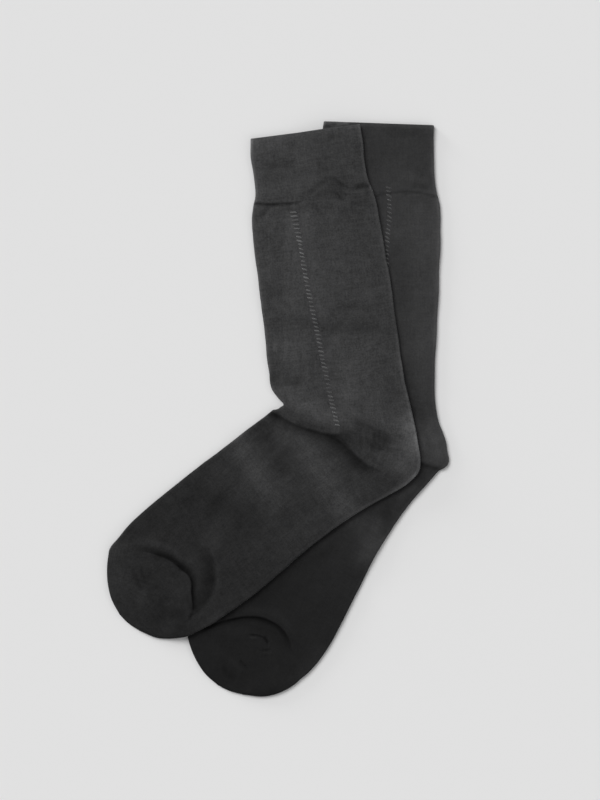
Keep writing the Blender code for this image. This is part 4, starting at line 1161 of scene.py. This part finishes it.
        {"path": [(-118.2, -109.3), (-113.6, -124.7), (-104.3, -137.1)], "width": 6, "tone": 0.14},
        {"path": [(-61.2, -167.1), (-50.4, -161.7), (-39.7, -156.3)], "width": 3, "tone": 0.2},
    ],
    "hiddenCreases": [
        {"path": [(-18, 158), (10, 160), (40, 163), (66, 168)], "depth": 0.5, "width": 1.8},
        {"path": [(0, -4), (25, -16), (50, -24), (72, -40)], "depth": 0.6, "width": 2.6},
        {"path": [(-105, -108), (-82, -116), (-66, -130), (-64, -152)], "depth": 0.6, "width": 1.8},
    ],
    # painted light along the folds at the sides, and painted shade where it is below 0 at the toe, by
    # distance from the mouth
    "paintedRimShading": {"fronts": [(0, 0.8), (40, 0.6), (100, 0.5), (230, 0.5), (300, 0.2), (430, 0.2), (460, 0),
                        (500, 0)],
             "backs": [(0, 0.9), (40, 0.9), (100, 0.8), (130, 0.6), (165, 0.9), (190, 1.1), (240, 1.1),
                       (258, 1.1), (272, 0.9), (288, 0.5), (305, 0.35), (390, 0.35), (415, -0.25),
                       (500, -0.3)]},
    # stops of tone down the leg and the foot, darker towards the toe; they hold painted light and shade as
    # well as the yarn's own tone
    "legToneAndShade": [(0, 1.22), (3.5, 1.16), (6, 1.00), (120, 1.00), (150, 0.96), (190, 1.04), (215, 1.08),
                 (240, 1.10), (270, 1.08)],
    "footToneAndShade": [(200, 0.66), (262, 0.64), (290, 0.60), (320, 0.54), (345, 0.46), (380, 0.43), (410, 0.42),
                  (480, 0.41)],
    "ankleLine": {"path": [(-14.2, 4.6), (-5.0, -0.8), (1.9, -4.6), (8.9, -8.5), (15.8, -11.9),
                           (22.7, -14.2), (29.6, -16.6), (36.6, -18.5), (43.5, -19.6), (48.9, -21.2),
                           (53.5, -25.4), (58.1, -31.6), (63.5, -37.7), (69.7, -42.7), (76.6, -46.2),
                           (86.6, -49.3), (102.0, -55.4), (115.9, -60.1)],
                  "soft": [(0, 0.8), (0.55, 1.0), (0.72, 4), (1, 12)]},
    "clock": {
        "seed": 22,
        "path": [(11.9, 153.2), (13.7, 144.8), (15.6, 137.1), (17.4, 127.8), (19.4, 116.3),
                 (21.6, 104.0), (24.6, 87.4), (28.1, 71.6), (31.4, 55.9), (34.7, 39.3),
                 (38.0, 24.9), (41.0, 8.5), (43.8, -2.6), (46.4, -13.0)],
        "slants": [(0, -10), (0.08, -14), (0.13, -26), (0.5, -24), (0.8, -22), (1, -30)],
        "sizes": [(0, 1.25), (0.07, 1.30), (0.12, 1.0), (1, 1.05)],
        "tones": [(0, 0.5), (0.1, 0.55), (0.14, 0.9), (0.4, 0.9), (0.47, 0.65), (0.56, 0.6), (0.64, 0.75),
                  (0.72, 0.6), (0.84, 0.5), (0.92, 0.6), (1, 0.95)],
    },
}


def makeSock(name, sock, laid):
    tube = layTube(sock)
    rowSets = []
    grids = []
    tones = []
    for count, folds, inside in ((sockCut["outerRows"], sock["fineFolds"], False),
                                 (sockCut["innerRows"], [sockCut["mouthRows"]], True)):
        s = downStations(tube, count, folds)
        grid = dressedGrid(sock, tube, s, inside, laid)
        rowSets.append(s)
        grids.append(grid)
        tones.append(toneOf(sock, tube, grid, s))
    piece = sockMesh(name, tube, grids[0], grids[1], rowSets, tones)
    mottle = piece.data.attributes.new("mottle", "FLOAT", "POINT")
    mottle.data.foreach_set("value", np.full(len(piece.data.vertices), sock["mottle"]))
    return piece, grids[0]


underPiece, underGrid = makeSock("sockUnderKnit", sockUnder, None)
overPiece, overGrid = makeSock("sockOverKnit", sockOver, heightMap(underGrid.reshape(-1, 3)))
print("socks made:", len(underPiece.data.polygons), "and", len(overPiece.data.polygons), "faces")

upperSide = loopColumns()[2] > 0
clocks = []
for name, sock, grid in (("clockOver", sockOver, overGrid), ("clockUnder", sockUnder, underGrid)):
    chart = heightMap(grid[:, upperSide].reshape(-1, 3), stitch["chartStep"], stitch["chartStep"])
    clocks.append(stitchRun(name, sock, chart))
print("clocks made:", [len(clock.data.polygons) for clock in clocks])

knit = knitMaterial()
yarn = clockMaterial()
for piece, finish in ((underPiece, knit), (overPiece, knit), (clocks[0], yarn), (clocks[1], yarn)):
    piece.data.materials.append(finish)
    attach(piece, "root")
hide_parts("sock_under")
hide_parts("sock_over")


# a pale plain floor, a camera straight above, and light from a wide soft source
room = {
    "floorTone": 0.80,
    "floorRoughness": 0.95,
    "floorHalf": 2.5,
    "skyTone": 0.40,
    # the way to each lamp, degrees across, power
    "lamps": [
        ((-1.0, 1.0, 1.5), 36, 1.90),
        ((-1.0, 0.8, 0.21), 16, 1.20),
        ((1.0, -0.6, 0.62), 30, 0.25),
    ],
    "cameraHigh": 2.4,
    "viewMiddle": (0.0173, 0.0077),
    "viewTall": 0.616,
    "filmTall": 36,         # millimetres
    "seesTo": 20,
}


def layFloor():
    # a square sheet far wider than the view, of one even tone
    half = room["floorHalf"]
    corners = np.array([[-half, -half, 0], [half, -half, 0], [half, half, 0], [-half, half, 0]])
    mesh = bpy.data.meshes.new("floor")
    mesh.from_pydata(corners.tolist(), [], [(0, 1, 2, 3)])
    material = bpy.data.materials.new("paleFloor")
    material.use_nodes = True
    shader = material.node_tree.nodes["Principled BSDF"]
    tone = room["floorTone"]
    shader.inputs["Base Color"].default_value = (tone, tone, tone, 1)
    shader.inputs["Roughness"].default_value = room["floorRoughness"]
    shader.inputs["Specular IOR Level"].default_value = 0.0
    mesh.materials.append(material)
    floor = bpy.data.objects.new("floor", mesh)
    bpy.context.collection.objects.link(floor)


def lightRoom():
    # an even sky and three wide lamps: the main one from the upper left, a low one that grazes
    # the cloth from the left, and a weak one opposite
    world = bpy.data.worlds.new("studio")
    world.use_nodes = True
    tone = room["skyTone"]
    world.node_tree.nodes["Background"].inputs["Color"].default_value = (tone, tone, tone, 1)
    bpy.context.scene.world = world
    for way, spread, power in room["lamps"]:
        lamp = bpy.data.lights.new("softLamp", "SUN")
        lamp.angle = math.radians(spread)
        lamp.energy = power
        softLamp = bpy.data.objects.new("softLamp", lamp)
        softLamp.location = way
        softLamp.rotation_euler = (-Vector(way)).to_track_quat("-Z", "Y").to_euler()
        bpy.context.collection.objects.link(softLamp)


def setCamera():
    # looks straight down; the lens takes in viewTall at the camera's height
    lens = bpy.data.cameras.new("overhead")
    lens.sensor_fit = "VERTICAL"
    lens.sensor_height = room["filmTall"]
    lens.lens = room["filmTall"] * room["cameraHigh"] / room["viewTall"]
    lens.clip_end = room["seesTo"]
    camera = bpy.data.objects.new("overhead", lens)
    camera.location = (*room["viewMiddle"], room["cameraHigh"])
    bpy.context.collection.objects.link(camera)
    bpy.context.scene.camera = camera


layFloor()
lightRoom()
setCamera()
bpy.context.scene.view_settings.view_transform = "Standard"
print("floor, light and camera set")


def clothArea(piece):
    # half of a closed shell's surface, in square metres
    areas = np.zeros(len(piece.data.polygons))
    piece.data.polygons.foreach_get("area", areas)
    return areas.sum() / 2


print("cloth:", [round(clothArea(piece), 4) for piece in (underPiece, overPiece)])
